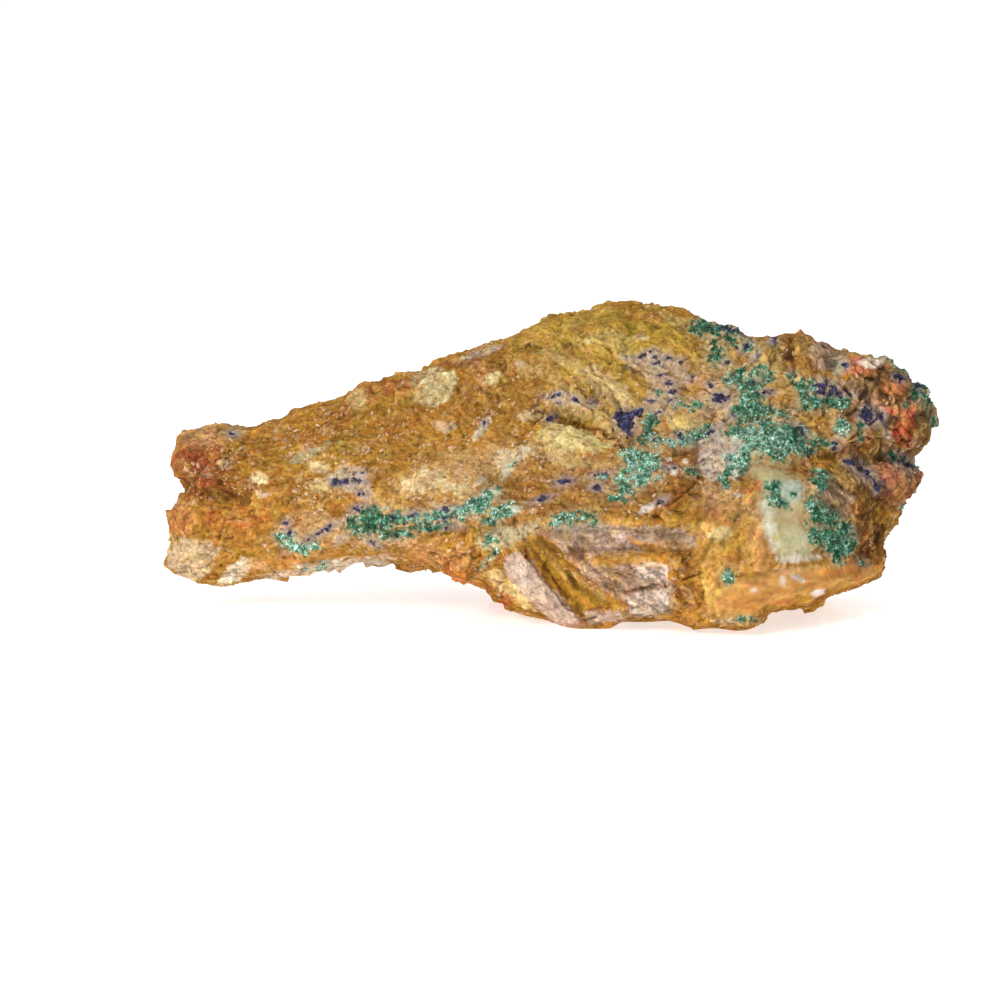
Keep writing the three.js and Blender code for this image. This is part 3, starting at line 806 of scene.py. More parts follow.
# Places that stand a little fuller than in the plain solid: where, and by how many millimetres.
FILLS = (
    (Patch(19, 16.4, 13, 2.2, 0), 1.3), (Patch(16, 24.8, 18, 1.6, -2), 0.8),
    (Patch(61, 15.4, 17, 1.8, 3), 0.9), (Patch(3, 13, 10, 2.4, -50), 0.6),
    (Patch(54, 16.2, 8, 1.2, 4), 0.7), (Patch(46, 13.6, 4, 1.4, 24), 0.8),
)

# Places where the outline is drawn in or let out, through the whole thickness: where, and by how many mm.
RIMS = (
    (Patch(-28, 63.6, 5, 3.4, 16), -1.3), (Patch(-50, 53, 16, 4, 17), -0.6),
    (Patch(-80, 48.4, 6, 2.4, 8), -0.7), (Patch(6, 73.6, 9, 3), -0.4), (Patch(34, 72.4, 6, 3, -24), -0.8),
    (Patch(-30, 16.4, 20, 2.6, -4), -0.6), (Patch(70, 9.4, 9, 2.4, 14), -0.6),
    (Patch(88, 51, 3.4, 9, -6), 1.2), (Patch(85, 35, 3, 4, 20), 0.4),
    (Patch(-12, 8.4, 7, 2.6, -34), -0.8), (Patch(81, 64.4, 5, 3, -30), 0.6),
    (Patch(86.6, 58.4, 3, 4, -40), 0.9),
)

# How the rock breaks in each part of the face.
FABRICS = (
    Fabric(Patch(-80, 41, 9, 8), 24, 4.4, 1.3, 2.7, 0.5, 0.25),
    Fabric(Patch(-82, 25, 9, 7), 62, 2.4, 1.7, 1.5, 0.4, 0.25),
    Fabric(Patch(-81, 16, 10, 5), 12, 1.4, 2.6, 1.0, 0.3, 0.25),
    Fabric(Patch(-54, 34, 42, 20), 12, 2.0, 2.6, 0.75, 0.1, 0.15),
    Fabric(Patch(-20, 52, 20, 15, 24), -62, 2.6, 2.0, 0.9, 0.15, 0.14),
    Fabric(Patch(12, 57, 30, 20), -38, 3.2, 2.4, 1.15, 0.12, 0.16),
    Fabric(Patch(4, 35, 22, 9), -22, 2.4, 2.2, 0.8, 0.1, 0.14),
    Fabric(Patch(15, 21.3, 20, 4.5), -6, 1.5, 5.0, 0.6, 0.2, 0.3),
    Fabric(Patch(20, 9.5, 12, 7), -34, 1.4, 6.0, 0.75, 0.35, 0.34),
    Fabric(Patch(6, 12.5, 14, 5.5, -50), -48, 1.2, 9.0, 0.8, 0.25, 0.5),
    Fabric(Patch(-3, 9, 13, 4.5, -52), -50, 1.3, 3.0, 0.3, 0.08, 0.12),
    Fabric(Patch(69, 27, 9, 12), -58, 1.8, 5.0, 0.9, 0.35, 0.65),
    Fabric(Patch(80, 33, 8, 8), -60, 2.4, 1.8, 1.1, 0.7, 0.3),
    Fabric(Patch(79, 52, 11, 14), -60, 3.2, 1.4, 1.5, 1.0, 0.35),
    Fabric(Patch(56, 64, 11, 8), -62, 3.0, 1.6, 0.9, 0.35, 0.25),
    Fabric(Patch(42, 20, 9, 14), 58, 2.0, 2.6, 0.5, 0.12, 0.28),
    Fabric(Patch(60, 10.5, 20, 5, 8), 8, 2.2, 6.0, 0.28, 0.04, 0.2),
    Fabric(Patch(54.5, 27, 7, 12), 60, 4.0, 1.4, 0.35, 0.0, 0.04),
)

# The clefts: their lines, and their depths and widths in millimetres.
CRACKS = (
    Crack(((-2.3, 51.3), (1.6, 49.2), (11.6, 46.6), (17.4, 43.2)), 0.9, 0.45),
    Crack(((9.3, 62.2), (12.8, 57.1), (16.7, 50.8)), 0.8, 0.45),
    Crack(((55.8, 68.5), (55.7, 63), (56.6, 59)), 1.0, 0.5),
    Crack(((-6, 20.6), (-4.2, 17), (-1.8, 13.6), (1.2, 9.8), (5, 5.2), (8.6, 1.4)), 1.3, 0.5),
    Crack(((31, 12), (35, 13.5)), 0.9, 0.4),
    Crack(((34.2, 13), (35.2, 9), (34.4, 5)), 0.5, 0.4),
    Crack(((15.6, 8.4), (19.4, 9.4), (25.4, 10.6)), 0.6, 0.4),
    Crack(((7.5, 2.6), (13, 3.6), (16.5, 5)), 0.9, 0.4),
    Crack(((-4, 48.2), (-2, 49.6), (-1.3, 52)), 0.9, 0.35),
    Crack(((-26, 50.8), (-22.6, 50.4), (-20.6, 47), (-20, 43)), 0.3, 0.5),
    Crack(((-11, 65.6), (-10.8, 61), (-12.2, 56.6), (-11.6, 52)), 0.35, 0.5),
    Crack(((4.4, 19), (7, 17.6), (8.4, 15.8)), 1.0, 0.8),
    Crack(((53, 37.6), (58, 36.8), (63.6, 36.4)), 0.5, 0.35),
)

# The ochres that the whole stone is mixed from.
OCHRE = ("#8e5e20", "#a8742a", "#b78434", "#9c6524")

# The back's own patches: colour, width in millimetres, and the level of the noise where they start.
BACK_TONES = (
    ("#8a5a30", 16.0, 0.0), ("#c4a468", 12.0, 0.22), ("#6b4526", 9.0, 0.3), ("#b08238", 10.0, 0.2),
    ("#cdb68c", 5.0, 0.34), ("#9c5a30", 7.0, 0.34), ("#8f8460", 8.0, 0.38),
)

# The front's colours, each laid over those before it.
STAINS = (
    # the broad tones
    Stain("#ac7a34", Patch(-50, 38, 45, 22), 0.7, 5, 4),
    Stain("#b08f3e", Patch(12, 62, 30, 14), 0.85, 5, 4),
    Stain("#98672e", Patch(-10, 58, 12, 9), 0.7, 4, 3),
    Stain("#a97d48", Patch(2, 36, 22, 10), 0.7, 4, 3),
    Stain("#8f5e26", Patch(-6, 32, 9, 4.5), 0.8, 2, 2),
    Stain("#7c5026", Patch(32, 36, 10, 7), 0.88, 2.4, 2),
    Stain("#8f622e", Patch(14, 31, 14, 4, -4), 0.7, 2, 2),
    Stain("#c8a26a", Patch(-23, 36.4, 17, 4, 16), 0.8, 1.2, 2.2),
    Stain("#a2835a", Patch(44, 56, 16, 12), 0.6, 4, 3),
    Stain("#ca9a4e", Patch(43, 20, 9, 14), 0.85, 3, 2),
    Stain("#cb9a40", Patch(42.6, 21.4, 4, 5), 0.75, 1.2, 2),
    # crest and upper slope
    Stain("#876620", Patch(24, 70, 9, 5), 0.35, 2, 2),
    Stain("#a9883a", Patch(7, 70, 12, 4, -10), 0.6, 2, 2),
    Stain("#c2ab66", Patch(14, 66.5, 9, 2, -22), 0.7, 0.8, 2.4),
    Stain("#b48e3e", Patch(33, 67, 4.6, 3.4), 0.8, 1),
    Stain("#bfa560", Patch(31, 71.4, 4.4, 1.2, -16), 0.8, 0.5, 1),
    Stain("#c8b468", Patch(15.4, 68.6, 2.8, 1.2, -10), 0.85, 0.3, 0.8),
    Stain("#d4c088", Patch(9, 67.2, 1.2, 0.7), 0.85, 0.2, 0.5),
    Stain("#d6c294", Patch(21.6, 68, 1.6, 0.7, -10), 0.85, 0.2, 0.5),
    Stain("#c9ad6e", Patch(2, 63.6, 4, 1.1, -30), 0.65, 0.6, 1.6),
    Stain("#ddcf9e", Area((
        (-33, 57.4), (-30.6, 60.6), (-27, 61.4), (-22, 60.6), (-21.2, 58.6), (-23, 55.2),
        (-24.4, 52.4), (-28, 51.8), (-32.4, 52.8), (-31.6, 55), (-29.4, 56.6),
    )), 0.95, 0.3, 1.0),
    Stain("#d8c086", Patch(-44.3, 53.8, 2.6, 2.6), 0.85, 0.4),
    Stain(
        "#d8bd92", Area(((-26.4, 49), (-22.2, 48.6), (-21.4, 47.4), (-24.4, 45.6), (-26.4, 47.2))),
        0.93, 0.3, 0.6,
    ),
    Stain("#c2935c", Patch(-19.4, 57, 0.8, 3.6, -10), 0.7, 0.4, 0.8),
    Stain("#d8c58c", Patch(-13.9, 58.7, 2.6, 1.2, 24), 0.93, 0.3, 0.7),
    Stain("#d8c0a4", Patch(-7, 62, 1.8, 1.0, -20), 0.85, 0.3, 0.6),
    Stain("#e0d2c0", Patch(-16.2, 35, 1.9, 0.9, 34), 0.85, 0.3, 0.6),
    Stain("#c9ac74", Patch(-5, 60.5, 3.4, 1.2, 20), 0.6, 0.5),
    Stain("#a45c2c", Patch(-16, 57.4, 1.1, 6, -8), 0.6, 0.5, 1.6),
    Stain("#98552a", Patch(-36, 56.8, 9, 1.2, 20), 0.6, 0.6, 1.6),
    Stain("#8e5038", Patch(-19.4, 62.6, 5.4, 1.1, 16), 0.8, 0.5, 1.2),
    Stain("#b5ac9a", Patch(-16, 64.6, 5, 0.8, 18), 0.8, 0.3, 0.6),
    Stain("#b09458", Area((
        (-1, 52.6), (3, 54), (8, 54.2), (13, 51.8), (15.6, 49.6), (17.8, 46), (16.4, 44),
        (12.6, 46.2), (9, 48.2), (4, 50), (0, 51),
    )), 0.92, 0.4, 0.8),
    Stain("#d8bd8e", Area((
        (-8, 50.2), (-5, 51.6), (-2.2, 52.2), (-1.4, 51.2), (-3, 49.4), (-5.4, 48.3), (-7.4, 48.9),
    )), 0.95, 0.2, 0.5),
    Stain(
        "#c4a874", Area(((7.4, 60.4), (11, 61.6), (19.4, 54), (17.6, 49.8), (13.4, 52.6), (9.4, 56.2))),
        0.92, 0.4,
    ),
    Stain("#bda062", Patch(3, 57.5, 6, 1.5, -38), 0.65, 0.6),
    Stain("#94723c", Patch(11.4, 53, 4.2, 0.9, -42), 0.7, 0.5),
    Stain(
        "#d2c284", Area(((-4, 45), (0, 49), (8, 47.2), (15, 43.6), (14, 41.2), (6, 42), (-1, 43))),
        0.92, 0.5,
    ),
    Stain("#cdb078", Patch(2, 40.5, 9, 1.8, -10), 0.7, 0.6),
    Stain("#5f3f1c", Patch(5.4, 48.5, 8.4, 0.4, -17), 0.85, 0.25, 0.5),
    # the arm
    Stain("#a3662c", Patch(-36, 48, 9, 4, 22), 0.55, 1.5, 3),
    Stain("#9a6724", Patch(-58, 44, 12, 3, 14), 0.7, 1.5, 3),
    Stain("#975f20", Patch(-70, 37, 7, 4, 10), 0.75, 2, 2.5),
    Stain("#9a5f2a", Patch(-50, 47, 8, 3, 18), 0.5, 1.5, 3),
    Stain("#8f7226", Patch(-38, 50.5, 14, 2.4, 24), 0.55, 1.5, 2.5),
    Stain("#b08a34", Patch(-56, 40, 14, 2.4, 8), 0.5, 1.5, 2.5),
    Stain("#8c4d2a", Patch(-81.6, 39, 6.6, 5.6), 0.85, 1.6, 2.4),
    Stain("#c7986c", Patch(-80, 45.6, 6, 3), 0.8, 1.6, 2.4),
    Stain("#8c4c26", Patch(-78, 33.5, 8, 2.5), 0.75, 1.4, 2),
    Stain("#8c4a2c", Patch(-83, 39.4, 5, 3.4), 0.8, 0.8),
    Stain("#8a4c26", Patch(-78.4, 40.6, 2.6, 2.4), 0.7, 0.8, 1.4),
    Stain("#a05c34", Patch(-82.4, 32.4, 3, 1.8), 0.7, 0.5),
    Stain("#a8a684", Patch(-73.2, 46, 2.8, 1.3), 0.8, 0.5, 0.8),
    Stain("#c9b48e", Patch(-75, 39, 1.7, 1.0), 0.9, 0.3, 0.6),
    Stain("#dcc0a0", Patch(-79.4, 36.2, 1.0, 0.5), 0.85, 0.2, 0.4),
    Stain("#e2c8ac", Patch(-67, 31.8, 1.3, 0.5, -10), 0.92, 0.2, 0.5),
    Stain("#b3ae86", Patch(-55.6, 41.4, 4.8, 1.1, 22), 0.85, 0.3, 0.8),
    Stain("#dcc290", Patch(-53.8, 38, 2.2, 1.5), 0.92, 0.3, 0.7),
    Stain("#d6c084", Patch(-53.6, 33.8, 2.4, 1.7), 0.92, 0.3, 0.8),
    Stain("#e4d09c", Patch(-67.6, 35.4, 2.2, 1.3), 0.93, 0.3, 0.8),
    Stain("#bfae96", Area(((-52, 36), (-47, 38.6), (-41, 36.8), (-42, 31.6), (-49, 32.4))), 0.8, 0.6),
    Stain(
        "#c49c6a", Area(((-63, 27), (-54, 28.4), (-47.5, 25.6), (-50, 21), (-58, 20.2), (-63.4, 23.4))),
        0.8, 0.8,
    ),
    Stain("#c47b34", Patch(-70, 25.5, 9, 4), 0.65, 2, 3),
    Stain("#b8612a", Patch(-72.4, 24.6, 3, 1.1, -10), 0.85, 0.5, 1),
    Stain("#b0592c", Patch(-78, 27.5, 2, 3), 0.7, 0.8, 1.5),
    Stain("#c07a48", Patch(-86, 26, 3.4, 4), 0.7, 1, 2),
    Stain("#9a6a34", Patch(-72, 21.6, 8, 1.2, -8), 0.5, 0.8, 1.5),
    Stain("#cdb490", Area((
        (-88.6, 18.6), (-86, 21), (-79.4, 21), (-76.6, 18.6), (-77.4, 15.4), (-80.6, 12),
        (-84, 12), (-90, 15),
    )), 0.93, 0.5),
    Stain("#f6e6c8", Area((
        (-77, 11.6), (-75, 14.6), (-71.4, 17), (-69.4, 16.6), (-70.2, 13), (-72.4, 11.4), (-76, 10),
    )), 0.95, 0.3, 0.8),
    Stain("#dcb47c", Patch(-67, 15, 2.2, 1.1, -20), 0.8, 0.4, 0.8),
    Stain("#dfe2d0", Patch(-55, 19.4, 2.0, 0.8, -14), 0.9, 0.2, 0.5),
    Stain("#cf8f4c", Patch(-63, 15.5, 6, 2.4, 8), 0.6, 1, 2),
    Stain("#d3925a", Patch(-27, 17.5, 9, 2.6, -14), 0.75, 1, 2),
    Stain("#bd5a30", Patch(-20, 12.8, 5, 1.4, -28), 0.75, 0.8, 1.5),
    Stain("#e3dac8", Patch(-50, 15, 12, 1.3, 8), 0.8, 0.6, 1),
    Stain("#c2a27c", Patch(-38, 20.6, 10, 1.8, 2), 0.6, 0.8, 1.5),
    # pale band and mint-white streaks
    Stain("#d3ccb0", Patch(-15.6, 47.4, 3.4, 0.8, 56), 0.92, 0.2, 0.5),
    Stain("#dcdac6", Patch(-9, 38.5, 4, 1.3, 52), 0.75, 0.8, 2.4),
    Stain("#e0cba6", Patch(-10, 40.6, 6, 1.3, 16), 0.75, 0.4, 1.2),
    Stain("#cddbc9", Patch(-15.4, 30.2, 4.8, 1.9, 38), 0.85, 0.5, 1.2),
    Stain("#d2dccc", Patch(-10, 28.2, 3.2, 1.3, 8), 0.85, 0.5, 1.2),
    Stain("#c6d4c0", Patch(-24, 27.4, 4, 1.0, 6), 0.7, 0.4, 1.0),
    Stain("#dcc498", Patch(-29, 35, 5, 2.6, 14), 0.8, 0.5, 1.8),
    Stain("#d9c89a", Patch(-21, 33.4, 4, 1.8, 10), 0.7, 0.5, 1.6),
    Stain("#c9c4a0", Patch(-9, 22.4, 6, 2.2, 20), 0.7, 1, 1.5),
    # halo of the upper specks
    Stain(
        "#c3a88e",
        Area(((16, 61.6), (24, 65.4), (32.6, 62), (31, 57), (27, 53), (25, 48.6), (22, 53), (22, 58))),
        0.85, 0.7,
    ),
    Stain("#c8aa88", Patch(27.5, 53, 2.8, 4.2, -10), 0.75, 0.6),
    Stain("#bda484", Patch(4, 53.8, 6.4, 1.6, -8), 0.7, 0.6, 1),
    Stain("#b7823c", Patch(34.5, 55, 4, 4.5), 0.7, 0.8),
    Stain("#dcc47c", Patch(30.5, 48, 3, 2.2), 0.85, 0.5),
    Stain("#c0a282", Patch(38.6, 53.4, 4, 4), 0.85, 0.6),
    Stain("#b08440", Patch(22.6, 55.6, 1.8, 2.4), 0.6, 0.5),
    Stain("#b9883f", Patch(20, 59.6, 1.8, 2.4), 0.7, 0.6),
    # between the crusts
    Stain(
        "#c6bdb0",
        Area(((33.6, 43.6), (36.4, 46.6), (42, 46.4), (46, 43.4), (45, 37), (38.6, 34), (34.4, 37))),
        0.95,
    ),
    Stain("#7c4a28", Patch(31, 41, 5, 2.6), 0.7, 1, 2),
    Stain("#c6a078", Patch(38.6, 31, 4.5, 3.4), 0.75, 1, 2),
    Stain("#93602f", Patch(35.5, 28, 4, 2.6), 0.6, 1, 2),
    Stain(
        "#b48034", Area(((48.4, 54), (50.6, 57.8), (55.5, 57.4), (57.4, 54), (54, 51.4), (50, 51.4))),
        0.95, 0.3, 0.8,
    ),
    Stain("#ad7f34", Area(((56.4, 48.4), (58.6, 51.6), (62.6, 49.6), (61.4, 46.6))), 0.9, 0.3, 0.8),
    Stain(
        "#b4832c", Area(((62.6, 49.4), (64.6, 51.8), (70.4, 51.6), (70.8, 49.6), (66, 48.6))),
        0.95, 0.3, 0.8,
    ),
    Stain("#b88c44", Patch(44, 62.6, 3.4, 4), 0.7, 0.8),
    Stain("#c3a45e", Patch(50, 63, 4, 4.4), 0.75, 0.8),
    # knuckles
    Stain("#917446", Patch(53, 66.2, 3.2, 3), 0.8, 0.8),
    Stain("#8b6f44", Patch(59, 66.4, 2.2, 3), 0.8, 0.6),
    # Painted shade: a dark strip on the left side of the knuckle, along its cleft.
    Stain("#5c3c20", Patch(56.2, 64.8, 0.9, 4, 4), 0.9, 0.4, 0.7),
    Stain("#b29686", Patch(63.2, 64, 2.8, 3.8, 24), 0.93, 0.4, 0.8),
    Stain("#cdb684", Patch(63, 57.6, 5, 1.4, -6), 0.75, 0.5),
    # the head
    Stain("#7a5c40", Patch(79, 51, 10, 13), 0.93, 2, 2),
    Stain("#94785a", Patch(72.4, 55.5, 3, 4.6), 0.85, 1, 1.5),
    Stain("#a9a58c", Patch(67, 62.2, 1.6, 3, -8), 0.88, 0.4, 0.6),
    Stain("#c96a4e", Area(((69, 60), (69.4, 63.6), (73, 63.6), (76, 60.4), (74, 58.4))), 0.95, 0.4),
    Stain(
        "#f4dac8", Area(((71.6, 62.2), (73.8, 64.4), (78.4, 63.8), (78.2, 61.4), (75.6, 60.6))),
        0.95, 0.4,
    ),
    Stain("#d87a58", Area(((77, 58), (80.8, 60), (82.8, 57), (81.6, 54), (77.6, 54.2))), 0.95, 0.4),
    Stain("#c08a62", Patch(78.5, 52.5, 3, 1.6), 0.8, 0.4),
    Stain(
        "#d2664a", Area(((77.2, 52.6), (80, 51.8), (84.8, 52.8), (84.4, 50.2), (79.4, 49.4))), 0.95, 0.4,
    ),
    Stain("#8a3422", Area(((79, 49), (83.8, 49.2), (85, 46.6), (83.6, 42), (80, 43))), 0.95, 0.4),
    Stain("#c25a3e", Patch(81.6, 47.4, 1.3, 1.6), 0.85, 0.3),
    Stain("#54402c", Patch(86.6, 44, 1.8, 3.4), 0.8, 0.5),
    Stain("#875432", Patch(73.5, 45.5, 3.4, 4), 0.85, 0.8, 1),
    Stain("#8a743c", Patch(76.2, 44.6, 0.8, 3), 0.8),
    Stain("#b9a08c", Patch(78.6, 44.5, 0.6, 3.4, 12), 0.8, 0.3, 0.8),
    Stain("#5c4a28", Area((
        (79, 65.6), (86, 62.4), (91, 56), (94, 48), (91, 40), (86, 41), (87, 47), (85, 54),
        (81, 60.4),
    )), 0.92, 0.8),
    Stain("#3a3c26", Patch(87.4, 53.4, 1.5, 5.4, 8), 0.6, 0.6, 1.2),
    Stain(
        "#3a4630", Area(((70, 66), (80, 66.4), (85.4, 61), (83.4, 59.2), (78.6, 62.6), (73, 63.8))),
        0.85, 0.4, 0.6,
    ),
    # the lump under the notch
    Stain("#84523a", Patch(80.5, 33.5, 7, 5.6), 0.92, 1),
    Stain("#cc8468", Patch(79, 36.4, 2.8, 2), 0.85, 0.6),
    Stain("#b0684c", Patch(82.6, 31.6, 1.8, 2.4), 0.5, 0.6),
    Stain("#6a3f2e", Patch(84.6, 34, 1.8, 4), 0.7, 0.8),
    # the flank
    # Partly the flank's own dark brown and partly painted shade on this side, which turns away from the
    # light.
    Stain("#624422", Patch(69, 28, 7.5, 11), 0.92, 1.5, 2),
    Stain("#bd9f82", Area((
        (60.5, 33.6), (64, 35.4), (68, 34), (70, 29.6), (70.6, 25.6), (67.4, 26.4), (66, 29.6),
        (62.6, 31),
    )), 0.85, 0.8),
    Stain("#8f682c", Patch(77.4, 25, 2, 3.4, -30), 0.8, 0.6, 1),
    Stain("#8c7040", Patch(66.5, 36.5, 4, 2.4, -38), 0.7, 1),
    Stain("#7a4222", Patch(74.5, 16.8, 4.6, 4.2), 0.92, 1),
    Stain("#5e3419", Patch(74.4, 21.4, 3.2, 3.8), 0.75, 1.0),
    # the pale green mound and its foot
    Stain("#bd8d55", Patch(44.6, 28.6, 4.4, 4.6), 0.8, 1.4),
    Stain("#c98f4b", Patch(49.2, 19.6, 3.4, 4.2), 0.85, 1.2, 1.5),
    Stain("#bf9360", Patch(49.4, 25, 3.4, 8, -8), 0.7, 2.2, 2.2),
    Stain("#b1a67c", MOUND, 0.9, 1.8, 2.0),
    Stain(
        "#c9c59a", Area(((52.4, 22), (55.6, 24.6), (59.4, 22.8), (60.8, 17.6), (56, 15.8), (53.4, 17))),
        0.9, 1.3, 1.6,
    ),
    Stain("#d9dac4", Patch(50.8, 25, 1.0, 5, 9), 0.8, 0.8, 1.4),
    Stain("#c9b184", Patch(56.2, 27.6, 1.8, 2.6), 0.6, 1.0, 1.4),
    # Painted highlight: a pale stroke over the shaded crease where the mound meets the lip.
    Stain("#f0e8d0", Patch(57.4, 16.8, 5.4, 1.1, 3), 0.92, 0.5, 0.9),
    Stain("#bd8032", Patch(60, 39, 4.4, 1.1, -12), 0.88, 0.3, 0.8),
    Stain("#8c4a22", Patch(58.6, 37, 5.4, 0.4, -8), 0.88, 0.2, 0.4),
    Stain(
        "#c4804a", Area(((44.2, 32), (45.4, 34.6), (49.6, 35.2), (49.8, 33), (46.6, 31.9))),
        0.94, 0.3, 0.6,
    ),
    Stain("#bcc3b2", RING_GAP, 0.88, 0.4, 0.8),
    Stain("#dca660", LIP, 0.93, 1.0, 1.8),
    Stain("#d68e40", Patch(66, 14, 9, 1.6, 4), 0.75, 0.8, 1.6),
    Stain("#e8c08a", Patch(58, 14.6, 8, 0.7, 6), 0.75, 0.5, 1.0),
    Stain("#c98842", Patch(56, 9.4, 9, 0.8, 10), 0.6, 0.6, 1.4),
    Stain("#8a5830", Patch(71.8, 15.6, 2.6, 1.9), 0.75, 0.7),
    Stain("#b8622a", Patch(56.5, 7.2, 3.2, 0.4, 6), 0.7, 0.3, 0.8),
    Stain("#cb8a44", Patch(46, 7.5, 6, 3), 0.7, 1),
    Stain("#f0dcc8", Patch(57, 12.6, 1.6, 0.6, -24), 0.95, 0.2, 0.5),
    Stain("#ecd8bc", Patch(54, 11.9, 0.6, 0.9), 0.92, 0.2, 0.4),
    Stain("#f6e8de", Patch(62.6, 8.9, 1.7, 0.8, 10), 0.95, 0.2, 0.5),
    Stain("#f2e0ca", Patch(47.3, 9.4, 1.1, 0.6, 10), 0.92, 0.2, 0.4),
    # golden chunks beside the shelf
    Stain(
        "#d4ac62", Area(((30.6, 24.4), (33, 25.2), (36.4, 25), (36.2, 22.4), (34, 20.6), (31, 21.4))),
        0.93, 0.3, 0.6,
    ),
    Stain(
        "#dcc488", Area(((36.8, 22), (38.4, 23.8), (41.6, 24), (42, 22.2), (38.6, 20.6))), 0.93, 0.3, 0.6,
    ),
    Stain(
        "#e2b25e", Area(((34.6, 12.2), (37, 12.4), (39.6, 9.2), (37.6, 5.4), (35.8, 7.4))),
        0.96, 0.2, 0.5,
    ),
    Stain("#b9863c", Patch(38, 16.4, 4, 2.2), 0.6, 0.8),
    Stain("#b8a08c", Patch(32.4, 8, 1.4, 2.6), 0.75, 0.4, 0.8),
    Stain("#b9782e", Patch(31.6, 8, 2.4, 5), 0.75, 0.8, 2),
    Stain("#8a5832", Patch(29.6, 10.6, 0.8, 3, 14), 0.75, 0.4, 1.2),
    Stain("#c8aa90", Patch(30.6, 14.6, 1.8, 1.0, -30), 0.7, 0.4, 1.0),
    # the pink shelf
    Stain("#b59a88", SHELF, 0.94, 0.5),
    Stain("#d2bcab", Patch(10, 23, 9, 1.0, -4), 0.6, 0.5, 1),
    Stain("#775f4d", Patch(2.6, 22, 3.6, 1.4, -10), 0.88, 0.5, 1),
    # Painted highlight: the right end of the shelf lies in a shaded hollow and is painted paler.
    Stain("#d8bca2", Patch(26, 22, 5, 1.5, -4), 0.88, 0.6, 1.4),
    Stain("#a8744a", Patch(27.6, 20.4, 3.4, 0.5, -6), 0.7, 0.4, 0.9),
    Stain("#c8b09e", Patch(14.5, 21, 4.4, 1.6, -8), 0.75, 0.5, 1),
    Stain("#5f3c30", Patch(6.6, 17.8, 2.4, 1.9, -20), 0.88, 0.5, 0.8),
    Stain("#b98c5c", Patch(14, 17.6, 5, 0.9, 0), 0.8, 0.4, 0.8),
    Stain("#c98c3a", Area((
        (18.2, 21.6), (21, 21.2), (24.6, 20.2), (27.4, 19.2), (28.4, 18), (27, 16.6), (23, 16.6),
        (20.6, 17.4), (22, 18.6), (19.6, 20),
    )), 0.92, 0.3, 0.7),
    Stain(
        "#9f6c34", Area(((13.4, 15.4), (15, 16.5), (18.6, 16.4), (19, 15.4), (16, 14.9))), 0.92, 0.3, 0.5,
    ),
    Stain("#9c5c34", Patch(20, 15.4, 7, 0.5, 0), 0.7, 0.3, 0.6),
    # block, slab and scoop
    Stain("#ad9079", BLOCK, 0.94, 0.5, 1.7),
    Stain(
        "#dac6b8", Area(((19.6, 14.6), (24, 16), (27.4, 15.4), (27.6, 11.4), (24, 11.2), (20.4, 12.6))),
        0.92, 0.3, 0.7,
    ),
    Stain(
        "#e2cdbd", Area(((17.4, 8), (21, 9.2), (27, 9.6), (27.4, 4.4), (23, 3.6), (18.6, 4.4))),
        0.92, 0.3, 0.7,
    ),
    Stain("#a8846a", Patch(11.4, 14.6, 4.6, 1.0, -24), 0.6, 0.5),
    Stain("#8a6048", Patch(19.6, 9.4, 4.4, 0.45, 12), 0.7, 0.3, 0.7),
    Stain("#a8876e", Patch(10, 10.6, 5, 0.6, -38), 0.6, 0.4, 0.8),
    Stain("#c1a796", BASE_BLOCK, 0.92, 0.3, 0.8),
    Stain("#ac7d2e", SCOOP, 0.96, 0.4, 0.9),
    Stain("#7d5a1e", Patch(1.4, 18.4, 5, 0.9, -44), 0.7, 0.5, 0.6),
    Stain("#caa256", Patch(1.4, 15.4, 6, 0.6, -52), 0.65, 0.4, 0.5),
    Stain("#a47832", Patch(10, 8.2, 5.4, 0.9, -24), 0.7, 0.4, 0.6),
    Stain("#c9a878", Patch(8.6, 10.6, 4.4, 0.5, -38), 0.7, 0.3, 0.5),
    Stain("#6b4718", Patch(-0.2, 13.2, 9, 0.5, -55), 0.85, 0.3, 0.4),
    Stain("#ccb19d", SLAB, 0.94, 0.3, 0.8),
    Stain("#dcc5b4", Patch(-6.4, 13.6, 3.6, 2, -50), 0.7, 0.5, 1.0),
    Stain("#c8b0a0", Patch(0, 9, 6, 0.7, -52), 0.5, 0.4, 0.8),
    Stain("#743a20", Patch(12, 5.2, 4.6, 0.35, 3), 0.8, 0.2, 0.5),
    Stain("#8f5228", Patch(12.6, 0.8, 6, 0.8, -4), 0.7, 0.4),
    Stain(
        "#f6d896", Area(((-15, 13.4), (-12.8, 14.6), (-8.6, 10.2), (-4, 6), (-6, 4.6), (-11, 8.6))),
        0.85, 0.4,
    ),
    Stain("#c4502a", Patch(-9.9, 7.2, 1.8, 1.3), 0.92, 0.3, 0.6),
    # pale dots on the brown
    Stain("#f0e2cc", Patch(27.5, 40, 0.7, 0.7), 0.92, 0.2, 0.2),
    Stain("#f0e2cc", Patch(31.5, 39.3, 0.7, 0.6), 0.92, 0.2, 0.2),
    Stain("#efe6dc", Patch(29, 37, 1.0, 0.8), 0.92, 0.2, 0.2),
    Stain("#e9e4d8", Patch(22.6, 28.6, 1.8, 0.7, 30), 0.85, 0.3, 0.4),
    Stain("#efe6dc", Patch(43.4, 31.6, 0.9, 0.8), 0.85, 0.2, 0.2),
)


# Where the malachite is nearly black.
DEEP = (Patch(85, 55, 9, 13), Patch(38, 68, 8, 4), Patch(-41, 24, 2.6, 1.2), Patch(78, 42, 8, 6))

# Where the malachite is a whitish mint.
FRESH = (
    Patch(-27, 27.2, 7, 2.6, 10), Patch(-60, 21, 4, 1.6, -30), Patch(21.6, 38.6, 4, 2, 30),
    Patch(14, 36, 3, 1.6), Patch(67.5, 46.8, 2.4, 2.6), Patch(44, 42, 7, 4, 10), Patch(-10, 39, 5, 3, 50),
    Patch(50, 43, 6, 2), Patch(47, 45.4, 5, 2.2, 10), Patch(2, 25, 6, 1.6), Patch(-50, 15, 12, 2, 8),
    Patch(30, 43.5, 4, 1.4),
)

